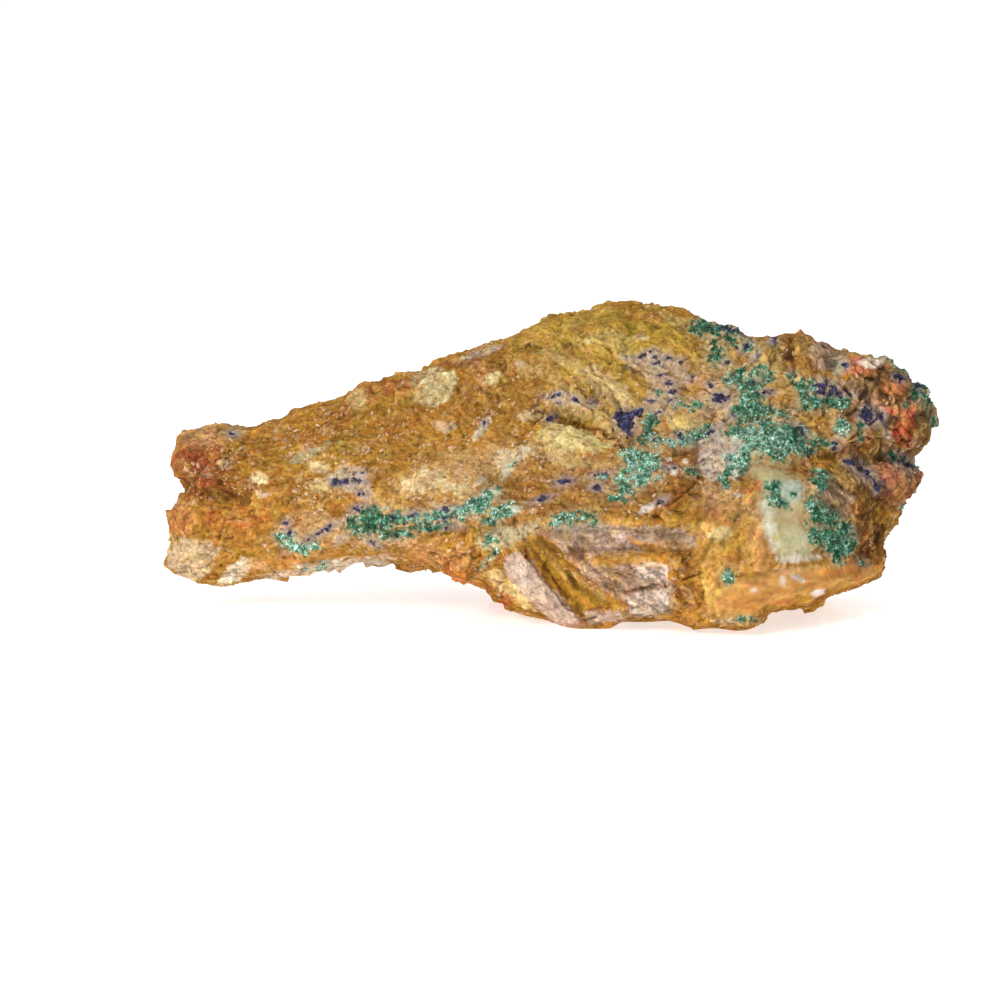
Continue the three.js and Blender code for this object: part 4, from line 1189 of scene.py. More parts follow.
# Where pale specks are thicker or thinner than elsewhere.
SWARMS = (
    (Patch(-40, 40, 45, 12, 4), 0.2), (Patch(-22, 36.5, 21, 4, 15), 0.3), (Patch(-66, 44, 14, 5), 0.12),
    (Patch(2, 38, 16, 5), 0.15), (Patch(26, 58, 8, 8), 0.12), (Patch(14, 68, 24, 7, -6), -0.3),
    (MOUND, -0.5), (LIP, -0.5), (SLAB, -0.25), (SCOOP, -0.5), (Patch(40, 22, 8, 12), -0.25),
    (Patch(69, 28, 8, 12), -0.4), (Patch(-81, 33, 6, 3), -0.5), (Patch(57, 65, 8, 5), -0.4),
    (Patch(80, 50, 12, 15), -0.3),
)


# ---------------------------------------------------------------- the stone


@dataclass(frozen=True)
class Break:
    """One size of the chips that the stone breaks into where no fabric is laid.

    Attributes:
        width: the chips' mean width, in millimetres.
        height: how much they stand out, in millimetres.
        seed: picks the pattern.
    """

    width: float
    height: float
    seed: int

    def relief(self, points: np.ndarray) -> tuple[np.ndarray, np.ndarray]:
        """Gives the height of each place and its distance from a chip's edge, in millimetres."""
        height, edge = chips(points, self.width, self.seed)
        return self.height * height, self.width * edge


BOULDERS = Break(14.0, 1.8, 33)
CHUNKS = Break(5.5, 1.8, 34)
FLAKES = Break(2.4, 1.1, 35)
CRUMBS = Break(1.2, 0.5, 50)
RIM_CHIPS = Break(2.7, 1.2, 55)

# Colours of the ground: in the pits of the pink beds, and round and under the crystals.
PIT = "#7d5c4a"
GREEN_HALO = "#b4bea2"
BLUE_HALO = "#a39a98"
GREEN_FILM = "#6f9c80"
GREEN_ROOTS = "#1b4c3b"
MINT_ROOTS = "#b5d3c0"
BLUE_ROOTS = "#1d1838"

# Rust, ochre, pale and dark blotches: colour, strength, width in millimetres, the level of the noise where
# they start, and the pattern.
BLOTCHES = (
    ("#9a5a26", 0.28, 5.0, 0.12, 62), ("#b9903a", 0.26, 4.0, 0.15, 66), ("#d2a664", 0.32, 2.6, 0.2, 70),
    ("#6a4620", 0.3, 2.2, 0.22, 74),
)

# Painted shade that darkens the hollows, and the paling of the edges, fine and broad: rounds of smoothing,
# the depths in millimetres where it starts and ends, and how much darker and paler it gets.
PAINTED_SHADE_AND_PALE_EDGES = ((3, 0.02, 0.16, 0.34, 0.16), (27, 0.1, 0.6, 0.36, 0.14))


@dataclass
class Stone:
    """The limonite block, refined from its CAD solid.

    Attributes:
        crusts: where the crystals will grow.
        voxel: size of its facets on the face, in millimetres.
        most: how many triangles it has in all; those that face back or down are thinned to get there.
        behind: the share of them that face back or down.
    """

    crusts: CrustMap
    voxel: float = 0.44
    most: int = 194000
    behind: float = 0.17
    obj: bpy.types.Object = field(init=False)

    def build(self) -> bpy.types.Object:
        """Builds and dresses the stone.

        Returns:
            The stone's object.
        """
        self.obj = copy_of_node(STONE_NODE, "limonite_block")
        apply_modifier(self.obj, "REMESH", mode="VOXEL", voxel_size=self.voxel * MM)
        apply_modifier(self.obj, "SMOOTH", factor=0.5, iterations=8)
        self.carve()
        self.stain()
        activate(self.obj)
        bpy.ops.object.mode_set(mode="EDIT")
        bpy.ops.mesh.select_all(action="SELECT")
        bpy.ops.mesh.quads_convert_to_tris()
        back = int(self.behind * self.most)
        self.thin(behind=True, target=back)
        self.thin(behind=False, target=self.most - back)
        self.obj.data.polygons.foreach_set("use_smooth", [True] * len(self.obj.data.polygons))
        dress(self.obj, LimoniteFinish().material(), Slot.LIMONITE, STONE_NODE)
        return self.obj

    def outward(self, mesh: bpy.types.Mesh) -> np.ndarray:
        """Gives how squarely the surface faces out of the front at each vertex, from -1 to 1."""
        return FACE.flatten(normals_of(mesh) + FACE.origin)[:, 2]

    def broken(self, points: np.ndarray, place: np.ndarray, front: np.ndarray) -> np.ndarray:
        """Works out the broken relief.

        Args:
            points: the vertices in millimetres.
            place: the same as u, v, t.
            front: how much each vertex belongs to the front.

        Returns:
            Heights in millimetres.
        """
        total, weights = self.blended(place, front, Fabric.relief)
        warped = points + 0.9 * np.stack([fractal(points, 6.0, 2, 31 + n) for n in range(3)], axis=1)
        coarse, _ = BOULDERS.relief(warped)
        broad, edge = CHUNKS.relief(warped)
        narrow, _ = FLAKES.relief(warped)
        plain = coarse + broad + narrow - 0.25 * np.exp(-((edge / 0.5) ** 2))
        return total / np.maximum(weights, 1.0) + (1.0 - np.minimum(weights, 1.0)) * plain

    def blended(
        self, place: np.ndarray, front: np.ndarray,
        measure: Callable[[Fabric, np.ndarray, int], np.ndarray],
    ) -> tuple[np.ndarray, np.ndarray]:
        """Adds up one measure of all the fabrics, each within its own patch.

        Args:
            place: each vertex's u, v, t.
            front: how much each vertex belongs to the front.
            measure: what is added up.

        Returns:
            The sum and the sum of the weights at each vertex.
        """
        total, weights = np.zeros(len(place)), np.zeros(len(place))
        for number, fabric in enumerate(FABRICS):
            reach = 0.25 * min(fabric.patch.a, fabric.patch.b)
            weight = front * smooth(-reach, 0.6 * reach, fabric.patch.depth(place))
            near = weight > 0.004
            total[near] += weight[near] * measure(fabric, place[near], 100 + 10 * number)
            weights += weight
        return total, weights

    def carve(self) -> None:
        """Gives the surface its chips, clefts and grit."""
        mesh = self.obj.data
        points, normals = points_of(mesh), normals_of(mesh)
        flat = FACE.flatten(points)
        place = FACE.unspread(flat)
        front = smooth(-0.1, 0.4, self.outward(mesh))
        calm = front * within((MOUND, LIP, SLAB, BASE_BLOCK), place, -1.0, 1.5)
        # Slow swells and the break, with crumbs and grit wherever the face isn't worn smooth.
        rise = 0.35 * fractal(points, 9.0, 2, 1) + self.broken(points, place, front)
        rise += (1.0 - 0.8 * calm) * (CRUMBS.relief(points)[0] + 0.1 * lumps(points, 0.8, 51))
        # Clefts wander by up to 0.7 mm from their lines.
        wobble = place.copy()
        wobble[:, :2] += 0.7 * np.stack([fractal(place, 2.6, 2, 40), fractal(place, 2.6, 2, 43)], axis=1)
        for crack in CRACKS:
            rise -= front * crack.cut(wobble)
        for patch, height in FILLS:
            rise += height * front * smooth(-1.2, 1.2, patch.depth(place))
        for patch, height in RIMS:
            rise += height * smooth(-1.2, 1.2, patch.depth(place))
        cover = self.crusts.look_up(self.crusts.cover(Slot.MALACHITE, 0.6), flat)
        rise += front * cover * (0.3 + 0.35 * lumps(points, 1.6, 52))
        # The outline is as jagged as the face: small chips stand along every edge that turns away.
        rim = np.exp(-((self.outward(mesh) / 0.35) ** 2))
        rise += rim * (RIM_CHIPS.relief(points)[0] + 0.25 * lumps(points, 1.3, 56))
        # The flat foot stays where it is, so that the stone stands as its solid does.
        footed = smooth(0.2, 2.0, points[:, 2])
        moved = points + normals * ((rise - 0.3) * footed)[:, None]
        moved[:, 2] = np.maximum(moved[:, 2], 0.02)
        set_points(mesh, moved)

    def thin(self, behind: bool, target: int) -> None:
        """Thins the facets of one side to a number of triangles, most where the surface is flat.

        Args:
            behind: whether to thin the side that faces back and down, or the front.
            target: how many triangles that side keeps.
        """
        deselect()
        mesh = self.obj.data
        normals = np.empty(3 * len(mesh.polygons))
        mesh.polygons.foreach_get("normal", normals)
        outward = FACE.flatten(normals.reshape(-1, 3) + FACE.origin)[:, 2]
        chosen = (outward < -0.05) == behind
        activate(self.obj)
        bpy.ops.object.mode_set(mode="EDIT")
        bpy.ops.mesh.select_mode(type="FACE")
        bpy.ops.mesh.select_all(action="DESELECT")
        bpy.ops.object.mode_set(mode="OBJECT")
        mesh.polygons.foreach_set("select", chosen)
        bpy.ops.object.mode_set(mode="EDIT")
        bpy.ops.mesh.decimate(ratio=min(1.0, float(target / chosen.sum())))
        bpy.ops.object.mode_set(mode="OBJECT")

    def stain(self) -> None:
        """Paints the stone's colours, with painted shade in its hollows and its edges paler."""
        mesh = self.obj.data
        points = points_of(mesh)
        flat = FACE.flatten(points)
        place = FACE.unspread(flat)
        front = smooth(-0.3, 0.1, self.outward(mesh))
        colour = self.ground(points, front)
        wander = np.clip(0.75 * fractal(place, 4.5, 3, 80) + 0.5 * fractal(place, 1.3, 2, 84), -1.2, 1.2)
        for stain in STAINS:
            depth = stain.patch.depth(place) + stain.ragged * wander
            lay_over(
                colour, stain.colour, front * stain.strength * smooth(-stain.edge, stain.edge, depth),
            )
        clean = front * within((MOUND, LIP, SLAB, SCOOP), place, -1.0, 0.6)
        self.mottle(points, colour, 1.0 - 0.75 * clean)
        pitted = front * within((SLAB, SHELF, BLOCK, BASE_BLOCK), place, -0.6, 0.4)
        colour *= 1.0 + (0.12 + 0.2 * pitted)[:, None] * lumps(points, 0.95, 90)[:, None]
        lay_over(colour, PIT, 0.6 * pitted * smooth(0.3, 0.6, lumps(points, 1.3, 91)))
        total, weights = self.blended(
            place, front, lambda fabric, at, seed: fabric.streak * fabric.streaks(at, seed),
        )
        streaks = total / np.maximum(weights, 1.0)
        colour *= np.clip(1.0 + 1.5 * streaks, 0.35, 1.7)[:, None]
        self.tinge(points, flat, place, front, colour)
        calm = front * within((LIP, MOUND, FOOT), place, -2.0, 1.0)
        # Painted shade darkens the hollows and the edges pale, less so on the scoop, shelf, lip and mound.
        less_painted_shade = front * within((SCOOP, SHELF, LIP, MOUND), place, -2.0, 1.0)
        colour *= (1.0 - (1.0 - 0.7 * less_painted_shade) * (1.0 - self.painted_shade_tone(points)))[:, None]
        paint(mesh, "stone_colour", np.clip(colour, 0.004, 1.0))
        paint(mesh, "gritty", 1.0 - 0.55 * calm)
        paint(mesh, "speckle", self.swarm(points, place, front))

    def ground(self, points: np.ndarray, front: np.ndarray) -> np.ndarray:
        """Mixes the ochres of the whole stone and the tones of its back.

        Args:
            points: the vertices in millimetres.
            front: how much each vertex belongs to the front.

        Returns:
            A linear RGB colour for each vertex.
        """
        shades = np.array([linear(c)[:3] for c in OCHRE])
        choice = np.clip(1.5 + 2.0 * fractal(points, 14.0, 4, 60, 0.6), 0, 2.999)
        below = choice.astype(int)
        share = (choice - below)[:, None]
        colour = shades[below] * (1 - share) + shades[below + 1] * share
        for number, (hue, size, low) in enumerate(BACK_TONES):
            level = fractal(points, size, 4, 160 + number, 0.6)
            lay_over(colour, hue, (1.0 - front) * 0.75 * smooth(low, low + 0.14, level))
        return colour

    def swarm(self, points: np.ndarray, place: np.ndarray, front: np.ndarray) -> np.ndarray:
        """Works out how thickly pale specks lie on the rock.

        Args:
            points: the vertices in millimetres.
            place: the same as u, v, t.
            front: how much each vertex belongs to the front.

        Returns:
            A value from 0 to 1 for each vertex.
        """
        swarm = 0.45 + 0.7 * fractal(points, 7.0, 3, 140, 0.6)
        for patch, more in SWARMS:
            swarm += more * front * smooth(-2.5, 2.5, patch.depth(place))
        return np.clip(swarm, 0.0, 1.0)

    def mottle(self, points: np.ndarray, colour: np.ndarray, share: np.ndarray) -> None:
        """Breaks the stains up with rust, ochre, pale and dark blotches, by a share for each vertex."""
        for hue, strength, size, low, seed in BLOTCHES:
            lay_over(
                colour, hue,
                share * strength * smooth(low, low + 0.26, fractal(points, size, 4, seed, 0.62)),
            )

    def tinge(
        self, points: np.ndarray, flat: np.ndarray, place: np.ndarray, front: np.ndarray,
        colour: np.ndarray,
    ) -> None:
        """Colours the ground under and round the crusts.

        Args:
            points: the vertices in millimetres.
            flat: the same as x, y, t.
            place: the same as u, v, t.
            front: how much each vertex belongs to the front.
            colour: the colours, changed in place.
        """
        green = Growing(Slot.MALACHITE, self.crusts)
        blue = Growing(Slot.AZURITE, self.crusts)
        dust = smooth(-0.1, 0.35, fractal(points, 1.4, 2, 150))
        lay_over(colour, GREEN_HALO, 0.5 * front * green.halo(flat, place) * (0.35 + 0.65 * dust))
        lay_over(colour, BLUE_HALO, 0.6 * front * blue.halo(flat, place))
        inside = smooth(0.4, 0.9, self.crusts.look_up(self.crusts.cover(Slot.MALACHITE, 0.75), flat))
        lay_over(colour, GREEN_FILM, 0.5 * front * inside * dust)
        share = front * green.share(points, flat, place)
        lay_over(
            colour, GREEN_ROOTS,
            0.85 * share * (0.45 + 0.55 * smooth(-0.2, 0.2, fractal(points, 1.0, 2, 152))),
        )
        lay_over(colour, MINT_ROOTS, 0.55 * share * within(FRESH, place) * (0.2 + 0.8 * dust))
        lay_over(colour, BLUE_ROOTS, 0.85 * front * blue.share(points, flat, place))

    def painted_shade_tone(self, points: np.ndarray) -> np.ndarray:
        """Works out the painted shade that darkens the hollows, and how much paler the edges are.

        Args:
            points: the vertices in millimetres.

        Returns:
            A factor for each vertex.
        """
        mesh = self.obj.data
        normals = normals_of(mesh)
        edges = np.empty(2 * len(mesh.edges), int)
        mesh.edges.foreach_get("vertices", edges)
        first, second = edges.reshape(-1, 2).T
        count = np.bincount(edges, minlength=len(points))
        mean = points.copy()
        tone = np.ones(len(points))
        for rounds, low, high, deep, edge_paling in PAINTED_SHADE_AND_PALE_EDGES:
            for _ in range(rounds):
                total = [
                    np.bincount(first, mean[second, n], len(points))
                    + np.bincount(second, mean[first, n], len(points))
                    for n in range(3)
                ]
                mean = np.stack(total, axis=1) / count[:, None]
            depth = np.einsum("ij,ij->i", mean - points, normals)
            # Painted shade in the hollows; paler on the edges.
            tone *= 1.0 - deep * smooth(low, high, depth) + edge_paling * smooth(low, high, -depth)
        return tone


def lay_over(colours: np.ndarray, colour: str, share: np.ndarray) -> None:
    """Mixes one colour into an array of linear RGB colours, in place, by a share for each row."""
    colours += share[:, None] * (np.array(linear(colour)[:3]) - colours)


# ---------------------------------------------------------------- crystals

# Small patches of malachite beside the crusts.
GREEN_DUST = (
    # the arm
    Patch(-62.4, 22.3, 2.0, 1.1, 20), Patch(-58.6, 19.8, 2.4, 0.8, -40), Patch(-36, 22.5, 5, 1.2, 6),
    Patch(-28, 24.4, 6, 1.2, 8), Patch(-20, 27.8, 3.6, 1.5, 14), Patch(-14, 26, 2.4, 1.4, 10),
    Patch(-14, 16.8, 2.4, 0.6, 52), Patch(-54, 14.9, 2.6, 0.7, 8), Patch(-9, 38, 2.6, 0.5, 50),
    Patch(9, 25.6, 2.6, 1.0, -20),
    # centre
    Patch(12, 35.6, 1.8, 0.6, 8), Patch(22.8, 48, 1.1, 2, -12), Patch(22.4, 44.8, 1.4, 1.0),
    Patch(31, 52.4, 3.2, 0.6, -14), Patch(25, 55, 0.8, 0.8), Patch(33, 37, 1.4, 1.2),
    Patch(30, 43.4, 3, 0.9, 4),
    # shoulder and head
    Patch(47, 60, 2.4, 1.2), Patch(44.6, 66.6, 3.4, 1.4, -20), Patch(50, 58.4, 2, 1),
    Patch(67.6, 47, 1.9, 2), Patch(60, 57, 3, 1.6, -20), Patch(56, 59.4, 1.2, 1), Patch(72, 46.6, 1, 2),
    Patch(83, 52.6, 0.9, 0.9), Patch(84.6, 55, 0.7, 2.2, -20), Patch(80, 62.2, 3.2, 0.6, -36),
    Patch(75, 64.6, 3, 0.5, -6), Patch(89, 48, 0.8, 1.4), Patch(87.4, 55, 1.3, 3.2, 14),
    Patch(84.4, 60.2, 2.2, 0.9, -40), Patch(80, 40.6, 1.6, 0.6, -20), Patch(85, 38.6, 1, 0.6),
    # flank and foot
    Patch(63, 36, 2.2, 1.2, -30), Patch(72.4, 16, 1.2, 0.7, -20), Patch(82.4, 28.6, 0.7, 0.9),
    Patch(56.8, 31.6, 0.9, 0.8), Patch(42, 40.4, 2, 1.2), Patch(40.6, 34.6, 1.2, 1.6, 20),
    Patch(44, 2.6, 3, 0.7), Patch(66, 19, 2, 1.4, -20),
)

# Small patches of azurite beside the knots.
BLUE_SPECKS = (
    # the arm
    Patch(-50, 34.6, 1.2, 0.9), Patch(-45.4, 34.8, 1.7, 0.8, 8), Patch(-43.8, 36.7, 0.6, 0.5),
    Patch(-43.6, 31.9, 0.9, 0.6), Patch(-44, 28.7, 1.9, 0.8, 20), Patch(-61.2, 24.8, 0.6, 0.9, -20),
    Patch(-60.4, 22.4, 0.8, 0.9), Patch(-54, 22.4, 3.6, 0.45, 28), Patch(-51.4, 24, 1.2, 0.6, 40),
    Patch(-48.5, 21.3, 1, 0.4, 30), Patch(-41, 20.4, 1, 0.4, -30), Patch(-31.5, 27.3, 1.3, 0.6),
    Patch(-24.5, 26.3, 2, 0.6, 10), Patch(-24.5, 28.4, 1.4, 0.5), Patch(-23.5, 24.2, 1.6, 0.4),
    Patch(-36, 26.6, 1.2, 0.5, 10), Patch(-73.6, 45.6, 0.7, 0.5), Patch(-15.4, 48.2, 0.4, 0.5, -30),
    # beside the eye
    Patch(0.3, 54.2, 1, 0.6), Patch(2.3, 54.9, 0.8, 0.4), Patch(2.5, 53.1, 0.7, 0.6),
    Patch(5.7, 53.7, 0.8, 0.7, -40), Patch(9.7, 52.8, 0.6, 0.4), Patch(0, 49.4, 1, 0.5, 30),
    # upper specks
    Patch(18.4, 63.2, 1, 0.4, -8), Patch(21.4, 64, 1.5, 0.5, 25), Patch(23.4, 64.8, 0.8, 0.4, 25),
    Patch(24.4, 63.6, 0.9, 0.4), Patch(27.6, 63.4, 0.7, 0.4), Patch(24.5, 62, 0.8, 0.4),
    Patch(30.3, 62.6, 0.6, 0.4, 30), Patch(25.9, 59.3, 0.5, 0.4), Patch(27.7, 57.4, 0.9, 0.6),
    Patch(28.2, 55.5, 1, 0.8), Patch(28.5, 53.5, 0.9, 0.5, -30), Patch(23.2, 53.4, 0.9, 0.5),
    Patch(25, 50.8, 0.8, 0.4), Patch(30.2, 45.4, 1.2, 0.9, -30), Patch(24.4, 44.6, 1, 0.5, -20),
    Patch(32.6, 58.4, 0.9, 0.6, 20), Patch(36.9, 57.2, 0.9, 0.6), Patch(42.6, 50, 1, 0.7),
    Patch(50, 55.4, 1.6, 0.5), Patch(45.5, 66, 1.4, 0.7, 50), Patch(51.7, 67.3, 0.8, 0.6),
    Patch(47.6, 63.6, 1, 0.6, 45), Patch(20.2, 51, 2, 0.7, 20), Patch(37, 46, 2.4, 0.5, 34),
    Patch(41.6, 70, 2.6, 0.7, -14), Patch(41, 62.4, 0.8, 0.5), Patch(47, 57.6, 0.8, 0.4),
    # head and seam
    Patch(73.4, 50.2, 1.8, 1.5, -40), Patch(76.8, 49.6, 0.7, 1.2), Patch(66, 43, 1.2, 1, -30),
    Patch(58.4, 46.6, 1.6, 0.7, -50), Patch(69.6, 39, 1.4, 0.7, -20), Patch(73.4, 36.8, 2.6, 0.6, -40),
    Patch(80, 40, 1.2, 0.6, -30), Patch(83, 38.6, 1.2, 0.5, -14), Patch(81, 58.6, 1.2, 0.7, -20),
    Patch(68.6, 61.8, 0.8, 1.0), Patch(85.4, 57, 0.7, 1.2), Patch(75.6, 33.2, 0.7, 1, 10),
    # centre and foot
    Patch(3.3, 34.7, 1.9, 0.8, 14), Patch(10.8, 33.3, 1.3, 0.7), Patch(11.6, 36.3, 1.4, 0.4, 10),
    Patch(-1.8, 30.5, 1.6, 0.5, 20), Patch(25.8, 30.2, 1.3, 0.7, 28), Patch(28, 37.8, 1, 0.5),
    Patch(65.6, 55.2, 4, 0.7, -5), Patch(62.6, 57, 2, 0.6, 14),
)


# The small patches that each mineral also grows in, beside its crusts.
BESIDE = {Slot.MALACHITE: GREEN_DUST, Slot.AZURITE: BLUE_SPECKS}

# Where a mineral leaves its crust bare or sparse, and how much of it is gone; below zero it is thicker.
BARE = {
    Slot.MALACHITE: (
        (RING_GAP, 1.0), (Patch(62.8, 24.3, 2.4, 0.8, -12), 1.0), (Patch(61.4, 18.2, 2.4, 1.6), 0.8),
        (Patch(42, 67.6, 6, 3, -20), 0.2), (Patch(66.5, 31.5, 3, 1.6), 0.6),
        (Patch(-62.4, 25.4, 2, 1.2), 0.5), (Patch(-50, 15.6, 12, 2, 8), 0.22), (Patch(87, 52, 3, 8), 0.1),
    ),
    Slot.AZURITE: (
        (Patch(66, 56, 6, 3), 0.14), (Patch(74.5, 50, 4, 3), 0.18), (Patch(72.5, 36, 6, 3, -40), 0.26),
        (Patch(66.5, 44, 3, 2.4), 0.2), (Patch(82, 39, 4, 2), 0.2), (Patch(17.5, 48.6, 5, 4.5), -0.16),
    ),
}


@dataclass(frozen=True)
class Habit:
    """How one mineral fills its crusts.

    Attributes:
        thick: how much of a crust it covers, before the ragged gaps are taken out.
        rough: how strong the gaps are.
        gap: their spacing, in millimetres.
        reach: how far a crust's edge fades out, in millimetres.
    """

    thick: float
    rough: float
    gap: float
    reach: float


HABITS = {Slot.MALACHITE: Habit(0.75, 0.52, 2.1, 0.75), Slot.AZURITE: Habit(0.61, 0.3, 1.2, 0.5)}


@dataclass(frozen=True)
class Growing:
    """Where one mineral grows: in ragged patches over its CAD crusts, and in small ones beside them."""

    kind: Slot
    crusts: CrustMap

    def near(self, place: np.ndarray) -> np.ndarray:
        """Gives how far inside the nearest small patch each u, v, t lies, in millimetres."""
        deepest = np.full(len(place), -FAR)
        for patch in BESIDE[self.kind]:
            deepest = np.maximum(deepest, patch.depth(place))
        return deepest

    def share(self, points: np.ndarray, flat: np.ndarray, place: np.ndarray) -> np.ndarray:
        """Gives how thickly the mineral covers each place.

        Args:
            points: places in millimetres.
            flat: the same as x, y, t.
            place: the same as u, v, t.

        Returns:
            Shares from 0 to 1.
        """
        habit = HABITS[self.kind]
        ragged = habit.rough * fractal(points, habit.gap, 3, 120, 0.66)
        crust = habit.thick * self.crusts.look_up(self.crusts.cover(self.kind, habit.reach), flat)
        for patch, less in BARE[self.kind]:
            crust -= less * smooth(-0.5, 0.5, patch.depth(place))
        depth = self.near(place)
        beside = 0.36 + 0.55 * np.clip(depth, -1.0, 0.45)
        close = np.maximum(crust > 0.06, depth > -1.0)
        return close * smooth(0.42, 0.58, np.maximum(crust, beside) + ragged)

    def halo(self, flat: np.ndarray, place: np.ndarray) -> np.ndarray:
        """Gives a soft rim round the mineral, from 0 to 1."""
        crust = self.crusts.look_up(self.crusts.cover(self.kind, 1.8), flat)
        return smooth(0.02, 0.5, np.maximum(crust, 0.4 + 0.3 * self.near(place)))


@dataclass(frozen=True)
class Spray:
    """A tuft of needles that spread from one root, modelled once."""

    needles: int = 7
    length: float = 0.74  # mm
    radius: float = 0.13
    sides: int = 3
    spread: float = 0.95  # how far the outer needles lean out, in radians

    def template(self) -> "Template":
        """Models the tuft."""
        golden = math.pi * (3.0 - math.sqrt(5.0))
        deselect()
        made = []
        for n in range(self.needles):
            lean = self.spread * math.sqrt(n / (self.needles - 1))
            height = self.length * (1.0 - 0.2 * (n % 3))
            way = Vector(
                (
                    math.sin(lean) * math.cos(n * golden), math.sin(lean) * math.sin(n * golden),
                    math.cos(lean),
                )
            )
            bpy.ops.mesh.primitive_cone_add(
                vertices=self.sides, radius1=self.radius, radius2=0.0, depth=height,
                location=way * (height / 2 - 0.15), rotation=way.to_track_quat("Z", "Y").to_euler(),
            )
            made.append(bpy.context.object)
        return Template.of(made, self.length)


@dataclass(frozen=True)
class Blocks:
    """A group of short thick crystals with narrowed ends, modelled once."""

    crystals: int = 3
    size: float = 0.62  # mm
    sides: int = 6
    taper: float = 0.5

    def template(self) -> "Template":
        """Models the group."""
        deselect()
        made = []
        for n in range(self.crystals):
            lean, turn = (0.8, 2.2 * n) if n else (0.0, 0.0)
            way = Vector(
                (math.sin(lean) * math.cos(turn), math.sin(lean) * math.sin(turn), math.cos(lean))
            )
            size = self.size * (1.0 - 0.18 * n)
            bpy.ops.mesh.primitive_cone_add(
                vertices=self.sides, radius1=0.55 * size, radius2=0.55 * self.taper * size, depth=size,
                location=way * (0.25 * size), rotation=way.to_track_quat("Z", "Y").to_euler(),
            )
            made.append(bpy.context.object)
        return Template.of(made, self.size)


@dataclass(frozen=True)
class Template:
    """A small shape that is stamped many times: its root is at the origin, and +Z is out of the rock.

    Attributes:
        points: its vertices, in millimetres.
        triangles: three vertices to a row.
        tips: how near each vertex is to a tip, from 0 to 1.
    """

    points: np.ndarray
    triangles: np.ndarray
    tips: np.ndarray

    @classmethod
    def of(cls, parts: list[bpy.types.Object], height: float) -> "Template":
        """Joins primitives made at 1 unit to the millimetre, reads them and removes them.

        Args:
            parts: the crystals.
            height: where the tips are.

        Returns:
            The template.
        """
        deselect()
        for part in parts:
            part.select_set(True)
        bpy.context.view_layer.objects.active = parts[0]
        if len(parts) > 1:
            bpy.ops.object.join()
        whole = bpy.context.object
        bpy.ops.object.transform_apply(location=True, rotation=True, scale=True)
        bpy.ops.object.mode_set(mode="EDIT")
        bpy.ops.mesh.select_all(action="SELECT")
        bpy.ops.mesh.quads_convert_to_tris()
        bpy.ops.object.mode_set(mode="OBJECT")
        points = np.array([v.co for v in whole.data.vertices])
        triangles = np.array([tuple(p.vertices) for p in whole.data.polygons])
        bpy.data.objects.remove(whole)
        return cls(points, triangles, np.clip(np.linalg.norm(points, axis=1) / height, 0.0, 1.0))


@dataclass(frozen=True)
class Roots:
    """Places on the stone's front where something can grow.

    Attributes:
        places: the places in millimetres.
        ways: the surface's direction at each.
        corners: the stone's nearest vertex to each.
    """

    places: np.ndarray
    ways: np.ndarray
    corners: np.ndarray

    @classmethod
    def scatter(cls, stone: Stone, rng: np.random.Generator, gap: float) -> "Roots":
        """Spreads places evenly over the front.

        Args:
            stone: the finished stone.
            rng: the source of chance.
            gap: the mean distance between places, in millimetres.

        Returns:
            The places, the surface's direction there and the nearest vertex of the stone.
        """
        mesh = stone.obj.data
        mesh.calc_loop_triangles()
        corners = np.empty(3 * len(mesh.loop_triangles), int)
        mesh.loop_triangles.foreach_get("vertices", corners)
        points, normals = points_of(mesh), normals_of(mesh)
        corners = corners.reshape(-1, 3)
        a, b, c = (points[corners[:, n]] for n in range(3))
        area = 0.5 * np.linalg.norm(np.cross(b - a, c - a), axis=1)
        area[stone.outward(mesh)[corners[:, 0]] < -0.3] = 0.0
        area[points[corners[:, 0], 2] < 1.0] = 0.0
        picked = rng.choice(len(area), int(area.sum() / gap**2), p=area / area.sum())
        r, s = rng.uniform(size=(2, len(picked), 1))
        folded = r + s > 1.0
        r, s = np.where(folded, 1.0 - r, r), np.where(folded, 1.0 - s, s)
        places = a[picked] * (1 - r - s) + b[picked] * r + c[picked] * s
        return cls(places, normals[corners[picked, 0]], corners[picked, 0])

    def some(self, keep: np.ndarray) -> "Roots":
        """Keeps the places that a mask or an index picks."""
        return Roots(self.places[keep], self.ways[keep], self.corners[keep])

    def grow(
        self, name: str, template: Template, rng: np.random.Generator, sizes: np.ndarray, lean: float,
        **marks: np.ndarray,
    ) -> bpy.types.Object:
        """Stamps one copy of a template at each root, as one mesh.

        Args:
            name: the piece's name.
            template: what is stamped.
            rng: the source of chance.
            sizes: the size of each copy beside the template.
            lean: how far the copies lean away from the surface's direction.
            marks: attributes, one value or colour for each copy.

        Returns:
            The joined mesh's object.
        """
        count = len(self.places)
        up = self.ways + lean * rng.normal(size=(count, 3))
        up /= np.linalg.norm(up, axis=1, keepdims=True)
        helper = np.where(np.abs(up[:, 2:]) < 0.9, [[0.0, 0.0, 1.0]], [[1.0, 0.0, 0.0]])
        side = np.cross(helper, up)
        side /= np.linalg.norm(side, axis=1, keepdims=True)
        turn = rng.uniform(0.0, 2.0 * math.pi, count)[:, None]
        right = side * np.cos(turn) + np.cross(up, side) * np.sin(turn)
        axes = np.stack([right, np.cross(up, right), up], axis=1) * sizes[:, None, None]
        placed = np.einsum("pk,nkc->npc", template.points, axes) + self.places[:, None, :]
        steps = len(template.points) * np.arange(count)[:, None, None]
        mesh = bpy.data.meshes.new(name)
        faces = (template.triangles[None] + steps).reshape(-1, 3)
        mesh.from_pydata((placed.reshape(-1, 3) * MM).tolist(), [], faces.tolist())
        paint(mesh, "tip", np.tile(template.tips, count))
        for mark, values in marks.items():
            paint(mesh, mark, np.repeat(values, len(template.points), axis=0))
        obj = bpy.data.objects.new(name, mesh)
        bpy.context.scene.collection.objects.link(obj)
        return obj


